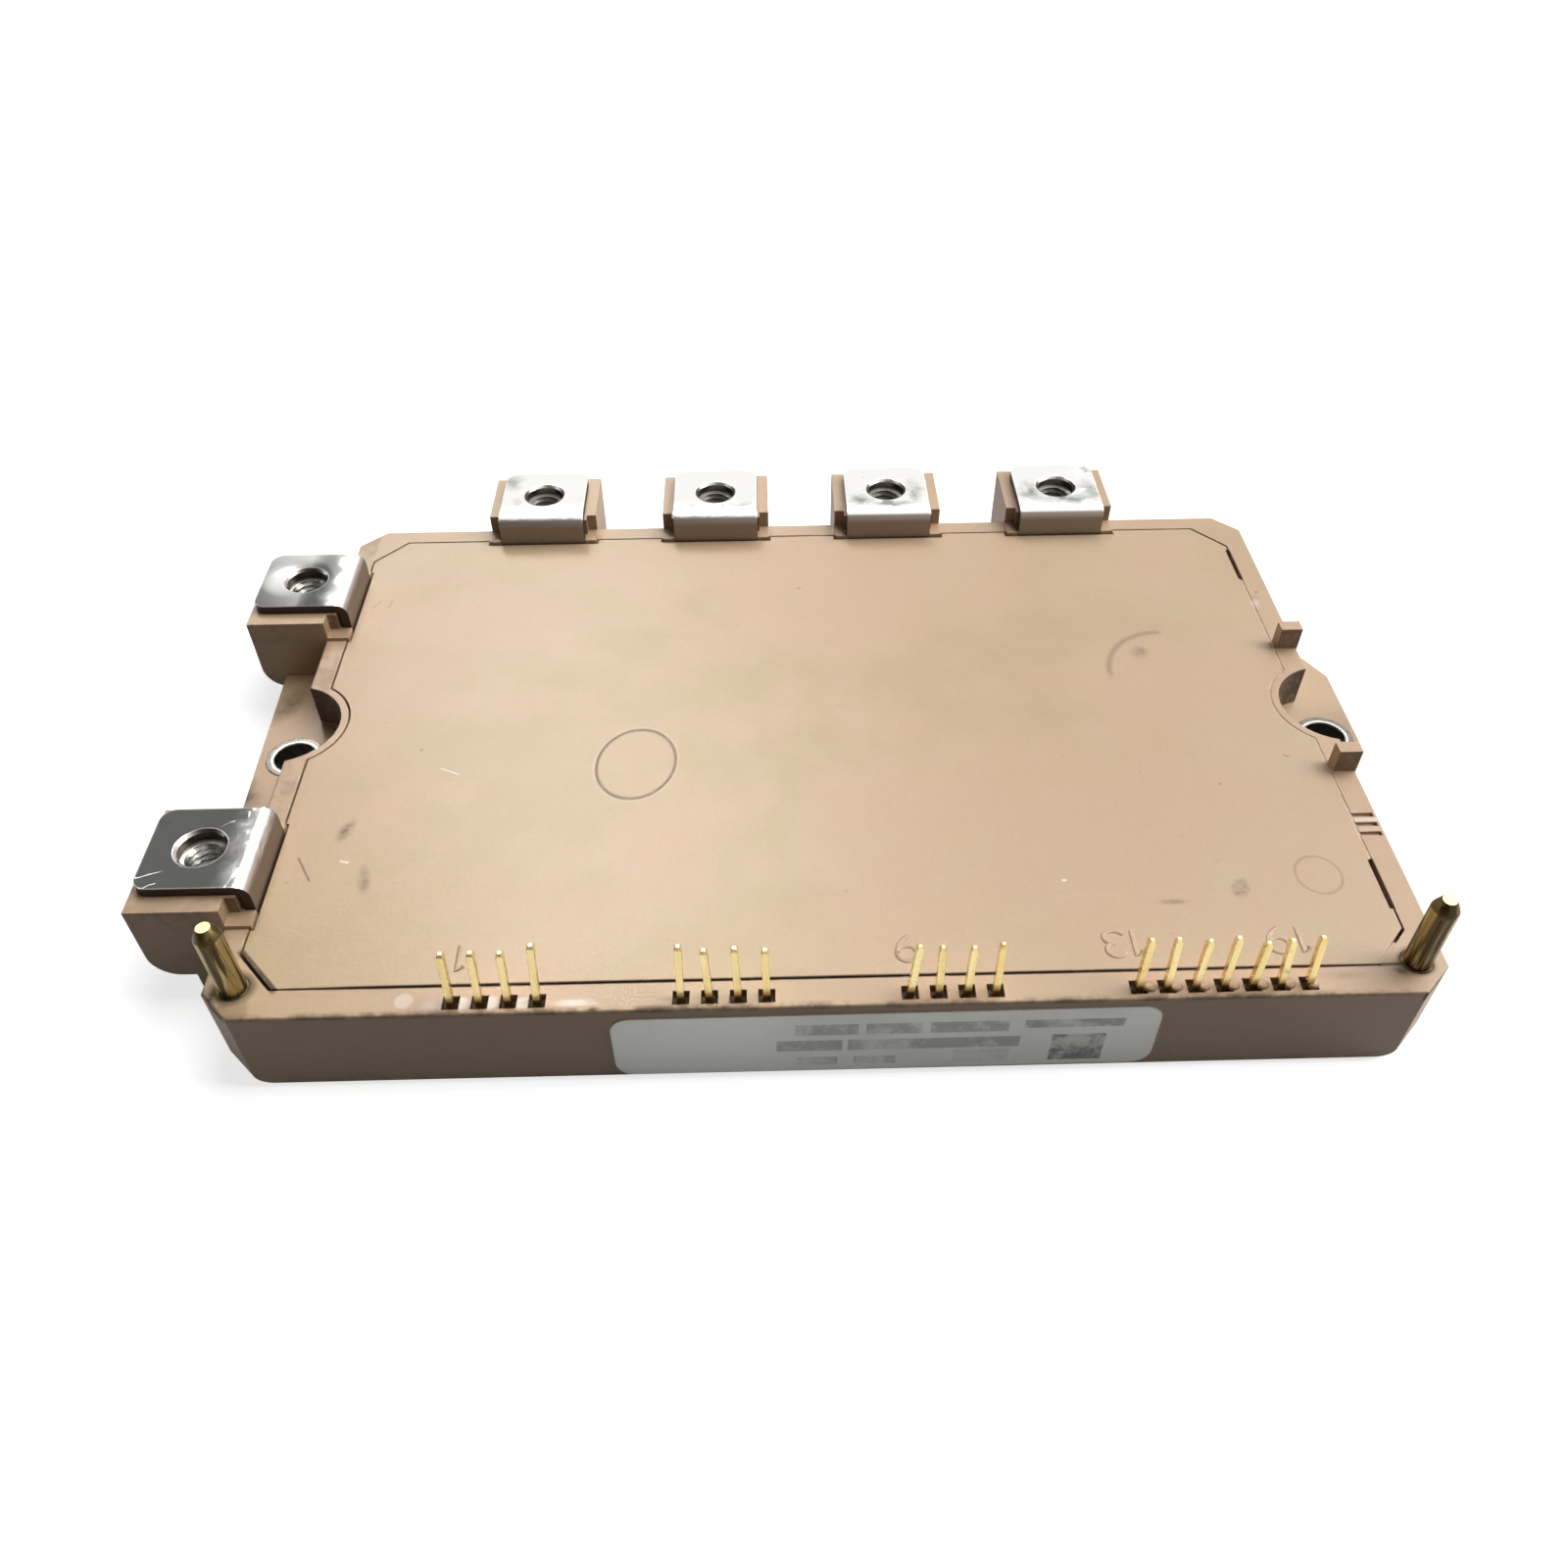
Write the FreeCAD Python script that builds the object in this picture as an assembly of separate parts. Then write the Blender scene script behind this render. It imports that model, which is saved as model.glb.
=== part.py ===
import FreeCAD, Part
import math
import os

# A flat power semiconductor module: a copper base plate, a moulded case frame with six terminal
# towers, a glued-in lid, six bent screw terminals, nineteen control pins and two guide pins.
# Sizes are in millimetres. The origin is midway between the two mounting holes on the underside
# of the base plate. +X runs along the pin edge, +Y points from the pin edge to the four back
# terminals, and +Z points up.

Vector = FreeCAD.Vector

# Mounting holes, with their centres just outside the sides of the case
MOUNT_BEYOND_SIDE = 1.55
MOUNT_HOLE_DIAMETER = 4.5
MOUNT_FROM_FRONT = 39.4

# Case frame
BODY_WIDTH = 111.9
BODY_DEPTH = 76.4
BODY_CORNER = 2.9
RIM_HEIGHT = 10.5
SKIRT_LIFT = 0.6
SKIRT_WALL = 1.2
TOP_EDGE_RADIUS = 0.2
BOTTOM_CORNER_RADIUS = 1.2

# Flanges around the mounting holes, which reach past the holes' centres
LEFT_FLANGE_REACH_FRONT = 3.0
LEFT_FLANGE_REACH_BACK = 4.9
RIGHT_EAR_REACH = 3.7
RIGHT_EAR_ROOT = 5.0
FLANGE_TOP = 5.5
RIGHT_EAR_FRONT = 5.4
RIGHT_EAR_BACK = 14.0
RIGHT_EAR_CUT_X = 1.9
RIGHT_EAR_CUT_Y = 3.5
POCKET_RADIUS = 6.2

# Mounting collars
COLLAR_DIAMETER = 6.3
COLLAR_PROUD = 0.1

# Lid
LID_THICKNESS = 1.6
LID_LEFT_MARGIN = 2.55
LID_RIGHT_MARGIN = 2.75
LID_FRONT_MARGIN = 3.3
LID_BACK_MARGIN = 2.6
LID_CORNER_X = 3.6
LID_CORNER_Y = 4.1
LID_GAP = 0.22
LID_POCKET_WALL = 1.0
LID_SLIT_LENGTH = 6.3
LID_SLIT_WIDTH = 0.55
LID_SLIT_DEPTH = 0.9
LID_SLIT_FRONT_INSET = 9.6
LID_SLIT_BACK_INSET = 7.9
LEDGE = 2.2

# Base plate
BASE_THICKNESS = 3.0
BASE_GAP = 0.1
BASE_EAR_WIDTH = 9.0
BASE_EAR_REACH = 2.7
BASE_EAR_ROOT = 4.8
BASE_EAR_CUT = 1.7

# Main terminals
PLATE_LENGTH = 10.8
PLATE_WIDTH = 10.5
PLATE_THICKNESS = 1.0
PLATE_TOP = 14.0
PLATE_CORNER = 1.5
PLATE_HOLE_DIAMETER = 4.5
PLATE_HOLE_CHAMFER = 0.3
PLATE_HOLE_REACH = 5.7
BEND_INNER_RADIUS = 0.3
FOOT_LENGTH = 6.4
FOOT_HEIGHT = 5.0
INSERT_CLEARANCE = 0.05
LEFT_LEG_INSET = 2.65
LEFT_FRONT_TERMINAL_INSET = 17.65
LEFT_BACK_TERMINAL_INSET = 15.25
BACK_LEG_INSET = 3.2
BACK_TERMINAL_PITCH = 21.85
BACK_TERMINAL_COUNT = 4

# Terminal towers
TOWER_CHEEK = 1.15
TOWER_OVERHANG = 0.4
TOWER_BOTTOM = 3.9
TOWER_ROUND = 2.7
TOWER_BEND_ROOM = 1.35
TOWER_NOTCH_REACH = 2.4
TOWER_SHIFT = 0.55
PEDESTAL_HEIGHT = 0.4
PEDESTAL_REACH = 2.35
CHEEK_GAP = 0.3

# Terminal nuts
NUT_ACROSS_FLATS = 7.0
NUT_HEIGHT = 3.2
NUT_BORE = 3.3
NUT_CLEARANCE = 0.1
NUT_DROP = 0.1
SCREW_ROOM_WIDTH = 4.6
SCREW_ROOM_DEPTH = 4.2

# Control pins
PIN_SIDE = 0.64
PIN_PITCH = 2.54
PIN_LAST_INSET = 13.25
PIN_FROM_FRONT = 1.3
PIN_TIP_LENGTH = 0.3
PIN_TIP_WIDTH = 0.3
PIN_FOOT_HEIGHT = 5.6
PIN_FOOT_LENGTH = 6.4
PIN_GROUP_COUNT = 4
PIN_COUNT = 4
PIN_LAST_GROUP_COUNT = 7
PIN_EMPTY_COUNT = 4
# Each pin's height above the rim and how far its tip leans along X, from left to right
PIN_TALL = (6.9, 7.0, 6.9, 7.8, 7.2, 6.6, 6.8, 6.5, 6.5, 6.3, 6.2, 6.6, 6.7, 6.7, 6.4, 6.7,
            5.9, 6.2, 6.5)
PIN_LEAN = (0.35, 0.35, 0.3, 0.5, 0.15, -0.25, -0.15, -0.1, 0.5, -0.1, 0.1, 0.0, -0.05,
            -0.25, 0.0, -0.15, 0.05, -0.5, -0.5)
SOCKET_SIDE = 1.5
SOCKET_DEPTH = 0.9

# Guide pins
GUIDE_INSET = 2.75
GUIDE_FROM_FRONT = 3.5
GUIDE_DIAMETER = 2.5
GUIDE_ROOT_DIAMETER = 2.9
GUIDE_ROOT_PROUD = 0.1
GUIDE_TALL = 8.4
GUIDE_TIP_DIAMETER = 1.3
GUIDE_TIP_LENGTH = 1.1
GUIDE_SEAT_DEPTH = 5.0
GUIDE_CLEARANCE = 0.03

# Rim details on the right edge
TAB_LENGTH = 1.55
TAB_WIDTH = 2.4
TAB_HEIGHT = 2.7
TAB_FRONT_Y = -10.9
TAB_BACK_Y = 9.6
RIM_GROOVE_COUNT = 3
RIM_GROOVE_BACK_Y = -17.3
RIM_GROOVE_PITCH = 1.3
RIM_GROOVE_WIDTH = 0.55
RIM_GROOVE_DEPTH = 0.35
RIM_GROOVE_LENGTH = 2.4
RIM_GROOVE_EDGE = 0.4

# Label on the front face
LABEL_WIDTH = 49.5
LABEL_HEIGHT = 8.5
LABEL_CORNER = 1.8
LABEL_THICKNESS = 0.12
LABEL_RIGHT_INSET = 26.1
LABEL_CENTRE_BELOW_RIM = 5.4
LABEL_TILT = 0.2

# Power stage inside the case
SUBSTRATE_COUNT = 3
SUBSTRATE_GAP = 1.4
SUBSTRATE_LEFT_ROOM = 6.3
SUBSTRATE_RIGHT_ROOM = 3.15
SUBSTRATE_FRONT_ROOM = 1.3
SUBSTRATE_BACK_ROOM = 0.8
CERAMIC_THICKNESS = 0.64
COPPER_THICKNESS = 0.3
COPPER_MARGIN = 0.8
TRACK_GAP = 1.0
TRACK_SPLIT = 13.5
CHIP_THICKNESS = 0.4
IGBT_SIDE = 11.0
DIODE_WIDTH = 7.0
DIODE_DEPTH = 11.0
CHIP_SPACING = 1.6
CHIP_EDGE = 0.3
WIRE_SIDE = 0.4
WIRE_RISE = 1.3
WIRE_PITCH = 1.6
CHIP_WIRE_COUNT = 2
TERMINAL_WIRE_COUNT = 2
BUS_BAR_WIDTH = 3.0
BUS_BAR_THICKNESS = 0.8
BUS_BAR_WALL_ROOM = 0.7
BUS_BAR_FRONT_INSET = 2.2
BUS_BAR_BACK_INSET = 10.1

# Control stage inside the case
BOARD_THICKNESS = 1.0
BOARD_LEFT_ROOM = 8.2
BOARD_RIGHT_ROOM = 3.45
BOARD_DEPTH = 19.0
BOARD_HEIGHT = 4.6
SHELF_DEPTH = 3.4
BOARD_LAP = 1.6
BOARD_GAP = 0.3
RIB_THICKNESS = 2.0
DAM_THICKNESS = 0.7
DRIVER_COUNT = 4
DRIVER_WIDTH = 12.0
DRIVER_DEPTH = 7.5
DRIVER_HEIGHT = 2.0
DRIVER_PITCH = 20.0
GEL_ROOM = 1.0

# Places worked out from the driving dimensions
FRONT = -MOUNT_FROM_FRONT
BACK = FRONT + BODY_DEPTH
HALF_WIDTH = BODY_WIDTH / 2.0
MOUNT_X = HALF_WIDTH + MOUNT_BEYOND_SIDE
GUIDE_X = HALF_WIDTH - GUIDE_INSET
LEFT_LEG_X = HALF_WIDTH - LEFT_LEG_INSET
LID_LEFT = HALF_WIDTH - LID_LEFT_MARGIN
LID_RIGHT = HALF_WIDTH - LID_RIGHT_MARGIN
WINDOW_LEFT = LID_LEFT - LEDGE
WINDOW_RIGHT = LID_RIGHT - LEDGE
LEFT_FRONT_TERMINAL_Y = FRONT + LEFT_FRONT_TERMINAL_INSET
LEFT_BACK_TERMINAL_Y = BACK - LEFT_BACK_TERMINAL_INSET
TOWER_WIDTH = PLATE_WIDTH + 2.0 * (CHEEK_GAP + TOWER_CHEEK)
PLATE_BOTTOM = PLATE_TOP - PLATE_THICKNESS
NUT_TOP = PLATE_BOTTOM - NUT_DROP
NUT_FLOOR = NUT_TOP - NUT_HEIGHT
LEG_WIDTH = PLATE_WIDTH
LID_BOTTOM = RIM_HEIGHT - LID_THICKNESS
GEL_TOP = LID_BOTTOM - GEL_ROOM
LID_FRONT = FRONT + LID_FRONT_MARGIN
LID_BACK = BACK - LID_BACK_MARGIN
LID_POCKET_RADIUS = POCKET_RADIUS + LID_POCKET_WALL
BACK_LEG_Y = BACK - BACK_LEG_INSET
PIN_Y = FRONT + PIN_FROM_FRONT
GUIDE_Y = FRONT + GUIDE_FROM_FRONT
WALL_FRONT = LID_FRONT + LEDGE
SHELF_BACK = WALL_FRONT + SHELF_DEPTH
BOARD_FRONT = SHELF_BACK - BOARD_LAP
BOARD_BACK = BOARD_FRONT + BOARD_DEPTH
BOARD_LEFT = WINDOW_LEFT - BOARD_LEFT_ROOM
BOARD_RIGHT = WINDOW_RIGHT - BOARD_RIGHT_ROOM
LABEL_X = HALF_WIDTH - LABEL_RIGHT_INSET - LABEL_WIDTH / 2.0
SUBSTRATE_LEFT = -WINDOW_LEFT + SUBSTRATE_LEFT_ROOM
SUBSTRATE_RIGHT = WINDOW_RIGHT - SUBSTRATE_RIGHT_ROOM
SUBSTRATE_STEP = (SUBSTRATE_RIGHT - SUBSTRATE_LEFT + SUBSTRATE_GAP) / SUBSTRATE_COUNT
SUBSTRATE_WIDTH = SUBSTRATE_STEP - SUBSTRATE_GAP
SUBSTRATE_FRONT = BOARD_BACK + RIB_THICKNESS / 2.0 + SUBSTRATE_FRONT_ROOM
SUBSTRATE_BACK = BACK_LEG_Y - FOOT_LENGTH - PLATE_THICKNESS - SUBSTRATE_BACK_ROOM
CERAMIC_BOTTOM = BASE_THICKNESS + COPPER_THICKNESS
TRACK_BOTTOM = CERAMIC_BOTTOM + CERAMIC_THICKNESS
TRACK_TOP = TRACK_BOTTOM + COPPER_THICKNESS
CHIP_TOP = TRACK_TOP + CHIP_THICKNESS
TRACK_SPLIT_Y = SUBSTRATE_BACK - TRACK_SPLIT
TRACK_BACK_Y = SUBSTRATE_BACK - COPPER_MARGIN


def block(x0, x1, y0, y1, z0, z1):
    return Part.makeBox(x1 - x0, y1 - y0, z1 - z0, Vector(x0, y0, z0))


def cylinder(x, y, z0, z1, diameter):
    return Part.makeCylinder(diameter / 2.0, z1 - z0, Vector(x, y, z0))


def cone(x, y, z0, z1, lower_diameter, upper_diameter):
    return Part.makeCone(lower_diameter / 2.0, upper_diameter / 2.0, z1 - z0, Vector(x, y, z0))


def prism(points, z0, z1):
    corners = [Vector(x, y, z0) for x, y in points]
    outline = Part.makePolygon(corners + corners[:1])
    return Part.Face(outline).extrude(Vector(0, 0, z1 - z0))


def cut_corner_outline(x0, x1, y0, y1, cut_x, cut_y):
    return [
        (x0 + cut_x, y0), (x1 - cut_x, y0), (x1, y0 + cut_y), (x1, y1 - cut_y),
        (x1 - cut_x, y1), (x0 + cut_x, y1), (x0, y1 - cut_y), (x0, y0 + cut_y),
    ]


def fused(shapes):
    first = shapes[0]
    if len(shapes) == 1:
        return first
    return first.multiFuse(shapes[1:]).removeSplitter()


def hexagon_prism(x, y, z0, z1, across_flats):
    radius = across_flats / 2.0 / math.cos(math.radians(30.0))
    corners = []
    for step in range(6):
        angle = math.radians(30.0 + 60.0 * step)
        corners.append((x + radius * math.cos(angle), y + radius * math.sin(angle)))
    return prism(corners, z0, z1)


# The six terminal stations: the foot of each leg's inner face, and the turn that carries the
# local +X axis, which points out of the case, to its place.
def terminal_stations():
    stations = {}
    for name, y in (("front", LEFT_FRONT_TERMINAL_Y), ("back", LEFT_BACK_TERMINAL_Y)):
        stations["main_terminal_left_" + name] = (Vector(-LEFT_LEG_X, y, 0), 180.0, TOWER_SHIFT)
    for index in range(BACK_TERMINAL_COUNT):
        offset = index - (BACK_TERMINAL_COUNT - 1) / 2.0
        place = Vector(offset * BACK_TERMINAL_PITCH, BACK_LEG_Y, 0)
        stations["main_terminal_back_%d" % (index + 1)] = (place, 90.0, 0.0)
    return stations


def placed(shape, station):
    place, turn, _ = station
    moved = shape.copy()
    moved.rotate(Vector(0, 0, 0), Vector(0, 0, 1), turn)
    moved.translate(place)
    return moved


# The lid's outline, also used, grown, for its seat in the case and, shrunk, for the window.
def lid_prism(grow, z0, z1):
    sheet = prism(
        cut_corner_outline(-LID_LEFT - grow, LID_RIGHT + grow, LID_FRONT - grow,
                           LID_BACK + grow, LID_CORNER_X, LID_CORNER_Y), z0, z1)
    cuts = []
    for side in (-1, 1):
        diameter = 2.0 * (LID_POCKET_RADIUS - grow)
        cuts.append(cylinder(side * MOUNT_X, 0, z0, z1, diameter))
    for station in terminal_stations().values():
        half = TOWER_WIDTH / 2.0 + LID_GAP - grow
        centre = station[2]
        notch = block(grow - LID_GAP, 2.0 * PLATE_LENGTH, centre - half, centre + half, z0, z1)
        cuts.append(placed(notch, station))
    return sheet.cut(fused(cuts))


# Section of a main terminal in its local XZ plane: the plate points out, the leg goes down and
# the foot points into the case.
def terminal_section():
    outer = BEND_INNER_RADIUS + PLATE_THICKNESS
    inner = BEND_INNER_RADIUS
    foot_top = FOOT_HEIGHT + PLATE_THICKNESS
    top_cx = outer
    top_cz = PLATE_TOP - outer
    low_cx = PLATE_THICKNESS - outer
    low_cz = FOOT_HEIGHT + outer

    def point(x, z):
        return Vector(x, 0, z)

    def arc(cx, cz, radius, start, end):
        angles = [math.radians(a) for a in (start, (start + end) / 2.0, end)]
        ends = [point(cx + radius * math.cos(a), cz + radius * math.sin(a)) for a in angles]
        return Part.Arc(*ends).toShape()

    def line(a, b):
        return Part.LineSegment(a, b).toShape()

    edges = [
        arc(top_cx, top_cz, outer, 180.0, 90.0),
        line(point(top_cx, PLATE_TOP), point(PLATE_LENGTH, PLATE_TOP)),
        line(point(PLATE_LENGTH, PLATE_TOP), point(PLATE_LENGTH, PLATE_BOTTOM)),
        line(point(PLATE_LENGTH, PLATE_BOTTOM), point(top_cx, PLATE_BOTTOM)),
        arc(top_cx, top_cz, inner, 90.0, 180.0),
        line(point(PLATE_THICKNESS, top_cz), point(PLATE_THICKNESS, low_cz)),
        arc(low_cx, low_cz, outer, 0.0, -90.0),
        line(point(low_cx, FOOT_HEIGHT), point(-FOOT_LENGTH, FOOT_HEIGHT)),
        line(point(-FOOT_LENGTH, FOOT_HEIGHT), point(-FOOT_LENGTH, foot_top)),
        line(point(-FOOT_LENGTH, foot_top), point(low_cx, foot_top)),
        arc(low_cx, low_cz, inner, -90.0, 0.0),
        line(point(0, low_cz), point(0, top_cz)),
    ]
    return Part.Face(Part.Wire(edges))


def terminal_strip():
    section = terminal_section()
    section.translate(Vector(0, -LEG_WIDTH / 2.0, 0))
    return section.extrude(Vector(0, LEG_WIDTH, 0))


def main_terminal(station):
    strip = terminal_strip()
    outer_corners = []
    for edge in strip.Edges:
        middle = edge.CenterOfMass
        upright = abs(edge.BoundBox.ZLength - PLATE_THICKNESS) < 1e-6
        if upright and abs(middle.x - PLATE_LENGTH) < 1e-6:
            outer_corners.append(edge)
    strip = strip.makeFillet(PLATE_CORNER, outer_corners)
    hole = cylinder(PLATE_HOLE_REACH, 0, PLATE_BOTTOM, PLATE_TOP, PLATE_HOLE_DIAMETER)
    chamfer = cone(PLATE_HOLE_REACH, 0, PLATE_TOP - PLATE_HOLE_CHAMFER, PLATE_TOP,
                   PLATE_HOLE_DIAMETER, PLATE_HOLE_DIAMETER + 2.0 * PLATE_HOLE_CHAMFER)
    return placed(strip.cut(fused([hole, chamfer])), station)


# A nut lies on the floor of its pocket, just clear of the plate above it.
def terminal_nut(station):
    nut = hexagon_prism(PLATE_HOLE_REACH, 0, NUT_FLOOR, NUT_TOP, NUT_ACROSS_FLATS)
    bore = cylinder(PLATE_HOLE_REACH, 0, NUT_FLOOR, NUT_TOP, NUT_BORE)
    return placed(nut.cut(bore), station)


# A tower in local axes: a block that carries the plate, rounded under its outer edge, with a
# low pedestal round the leg and a notch beside the bend at each end.
def tower(station):
    shift = station[2]
    y0 = shift - TOWER_WIDTH / 2.0
    y1 = shift + TOWER_WIDTH / 2.0
    outer = PLATE_LENGTH + TOWER_OVERHANG
    upper = block(TOWER_BEND_ROOM, outer, y0, y1, TOWER_BOTTOM, PLATE_BOTTOM)
    low_edges = []
    for edge in upper.Edges:
        middle = edge.CenterOfMass
        if abs(middle.x - outer) < 1e-6 and abs(middle.z - TOWER_BOTTOM) < 1e-6:
            low_edges.append(edge)
    upper = upper.makeFillet(TOWER_ROUND, low_edges)
    cheek = PLATE_WIDTH / 2.0 + CHEEK_GAP
    pedestal_top = RIM_HEIGHT + PEDESTAL_HEIGHT
    notches = [
        block(0, TOWER_NOTCH_REACH, y0, -cheek, pedestal_top, PLATE_BOTTOM),
        block(0, TOWER_NOTCH_REACH, cheek, y1, pedestal_top, PLATE_BOTTOM),
    ]
    upper = upper.cut(fused(notches))
    pedestal = block(0, PEDESTAL_REACH, y0, y1, TOWER_BOTTOM, pedestal_top)
    return placed(fused([upper, pedestal]), station)


# What each tower leaves open: the nut's pocket, the room for the screw's end and the close slot
# for the leg and foot, from the upper bend to the inner face of the wall.
def tower_openings(station):
    pocket = hexagon_prism(PLATE_HOLE_REACH, 0, NUT_FLOOR, PLATE_BOTTOM,
                           NUT_ACROSS_FLATS + 2.0 * NUT_CLEARANCE)
    room = hexagon_prism(PLATE_HOLE_REACH, 0, NUT_FLOOR - SCREW_ROOM_DEPTH, NUT_FLOOR,
                         SCREW_ROOM_WIDTH)
    half = LEG_WIDTH / 2.0 + INSERT_CLEARANCE
    under = FOOT_HEIGHT - INSERT_CLEARANCE
    bend_top = FOOT_HEIGHT + PLATE_THICKNESS + BEND_INNER_RADIUS + INSERT_CLEARANCE
    leg_slot = block(-INSERT_CLEARANCE, PLATE_THICKNESS + INSERT_CLEARANCE, -half, half, under,
                     PLATE_BOTTOM)
    foot_slot = block(-LEDGE - LID_GAP, 0, -half, half, under, bend_top)
    return [placed(shape, station) for shape in (pocket, room, leg_slot, foot_slot)]


# The left flange joins the feet of both left towers and widens a little to the back.
def left_flange():
    y0 = LEFT_FRONT_TERMINAL_Y - TOWER_WIDTH / 2.0 - TOWER_SHIFT
    y1 = LEFT_BACK_TERMINAL_Y + TOWER_WIDTH / 2.0 - TOWER_SHIFT
    inner = -HALF_WIDTH + SKIRT_WALL
    outline = [(-MOUNT_X - LEFT_FLANGE_REACH_FRONT, y0), (inner, y0), (inner, y1),
               (-MOUNT_X - LEFT_FLANGE_REACH_BACK, y1)]
    return prism(outline, SKIRT_LIFT, FLANGE_TOP)


def right_ear():
    outline = cut_corner_outline(HALF_WIDTH - RIGHT_EAR_ROOT, MOUNT_X + RIGHT_EAR_REACH,
                                 -RIGHT_EAR_FRONT, RIGHT_EAR_BACK, RIGHT_EAR_CUT_X,
                                 RIGHT_EAR_CUT_Y)
    return prism(outline, SKIRT_LIFT, FLANGE_TOP)


def body_block():
    outline = cut_corner_outline(-HALF_WIDTH, HALF_WIDTH, FRONT, BACK, BODY_CORNER, BODY_CORNER)
    body = prism(outline, SKIRT_LIFT, RIM_HEIGHT)
    corners = []
    for edge in body.Edges:
        middle = edge.CenterOfMass
        sloped = edge.BoundBox.XLength > 1e-6 and edge.BoundBox.YLength > 1e-6
        if sloped and abs(middle.z - SKIRT_LIFT) < 1e-6:
            corners.append(edge)
    body = body.makeFillet(BOTTOM_CORNER_RADIUS, corners)
    top_edges = []
    for edge in body.Edges:
        if abs(edge.BoundBox.ZMin - RIM_HEIGHT) < 1e-6:
            top_edges.append(edge)
    return body.makeFillet(TOP_EDGE_RADIUS, top_edges)


def base_outline(grow):
    y0 = FRONT + SKIRT_WALL - grow
    y1 = BACK - SKIRT_WALL + grow
    half = HALF_WIDTH - SKIRT_WALL + grow
    return cut_corner_outline(-half, half, y0, y1, BODY_CORNER, BODY_CORNER)


def base_ear(side, grow, z0, z1):
    reach = MOUNT_X + BASE_EAR_REACH + grow
    half = BASE_EAR_WIDTH / 2.0 + grow
    inner = HALF_WIDTH - BASE_EAR_ROOT
    points = cut_corner_outline(inner, reach, -half, half, BASE_EAR_CUT, BASE_EAR_CUT)
    ear = prism(points, z0, z1)
    if side < 0:
        ear = ear.mirror(Vector(0, 0, 0), Vector(1, 0, 0))
    return ear


def base_slab(grow, z0, z1):
    pieces = [prism(base_outline(grow), z0, z1)]
    for side in (-1, 1):
        pieces.append(base_ear(side, grow, z0, z1))
    return fused(pieces)


def base_plate():
    slab = base_slab(0.0, 0.0, BASE_THICKNESS)
    holes = []
    for side in (-1, 1):
        holes.append(cylinder(side * MOUNT_X, 0, 0, BASE_THICKNESS, MOUNT_HOLE_DIAMETER))
    return slab.cut(fused(holes))


def mounting_collar(side):
    x = side * MOUNT_X
    top = FLANGE_TOP + COLLAR_PROUD
    outer = cylinder(x, 0, BASE_THICKNESS, top, COLLAR_DIAMETER)
    inner = cylinder(x, 0, BASE_THICKNESS, top, MOUNT_HOLE_DIAMETER)
    return outer.cut(inner)


# The columns of the pin grid that hold a pin: equal groups with empty columns between them, and
# a longer last group.
def pin_columns():
    columns = []
    for group in range(PIN_GROUP_COUNT):
        first = group * (PIN_COUNT + PIN_EMPTY_COUNT)
        count = PIN_LAST_GROUP_COUNT if group == PIN_GROUP_COUNT - 1 else PIN_COUNT
        columns += [first + step for step in range(count)]
    return columns


def pin_x(column):
    last = pin_columns()[-1]
    return HALF_WIDTH - PIN_LAST_INSET - PIN_PITCH * (last - column)


# The root of a control pin: upright in the front wall up to the rim, with its foot turned in
# as far as foot_end.
def pin_root(column, grow, foot_end):
    half = PIN_SIDE / 2.0 + grow
    x = pin_x(column)
    z0 = PIN_FOOT_HEIGHT - grow
    upright = block(x - half, x + half, PIN_Y - half, PIN_Y + half, z0, RIM_HEIGHT)
    foot = block(x - half, x + half, PIN_Y - half, foot_end, z0,
                 PIN_FOOT_HEIGHT + PIN_SIDE + grow)
    return fused([upright, foot])


def square(x, y, z, width):
    half = width / 2.0
    return [Vector(x - half, y - half, z), Vector(x + half, y - half, z),
            Vector(x + half, y + half, z), Vector(x - half, y + half, z)]


# A solid with flat faces through a stack of sections that have the same number of corners.
def skinned(sections):
    rings = [sections[0], sections[-1]]
    for lower, upper in zip(sections, sections[1:]):
        for index in range(len(lower)):
            after = (index + 1) % len(lower)
            rings.append([lower[index], lower[after], upper[after], upper[index]])
    faces = [Part.Face(Part.makePolygon(ring + ring[:1])) for ring in rings]
    return Part.makeSolid(Part.makeShell(faces))


# Above the rim a pin leans as far as it has been bent, and ends in a blunt point.
def control_pin(index, column):
    x = pin_x(column)
    tall = PIN_TALL[index]
    shoulder = tall - PIN_TIP_LENGTH
    lean = PIN_LEAN[index]
    sections = [
        square(x, PIN_Y, RIM_HEIGHT, PIN_SIDE),
        square(x + lean * shoulder / tall, PIN_Y, RIM_HEIGHT + shoulder, PIN_SIDE),
        square(x + lean, PIN_Y, RIM_HEIGHT + tall, PIN_TIP_WIDTH),
    ]
    blade = skinned(sections)
    return fused([pin_root(column, 0.0, PIN_Y + PIN_FOOT_LENGTH), blade])


def pin_sockets():
    cuts = []
    half = SOCKET_SIDE / 2.0
    for column in pin_columns():
        x = pin_x(column)
        cuts.append(block(x - half, x + half, PIN_Y - half, PIN_Y + half,
                          RIM_HEIGHT - SOCKET_DEPTH, RIM_HEIGHT))
        cuts.append(pin_root(column, INSERT_CLEARANCE, WALL_FRONT))
    return cuts


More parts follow.
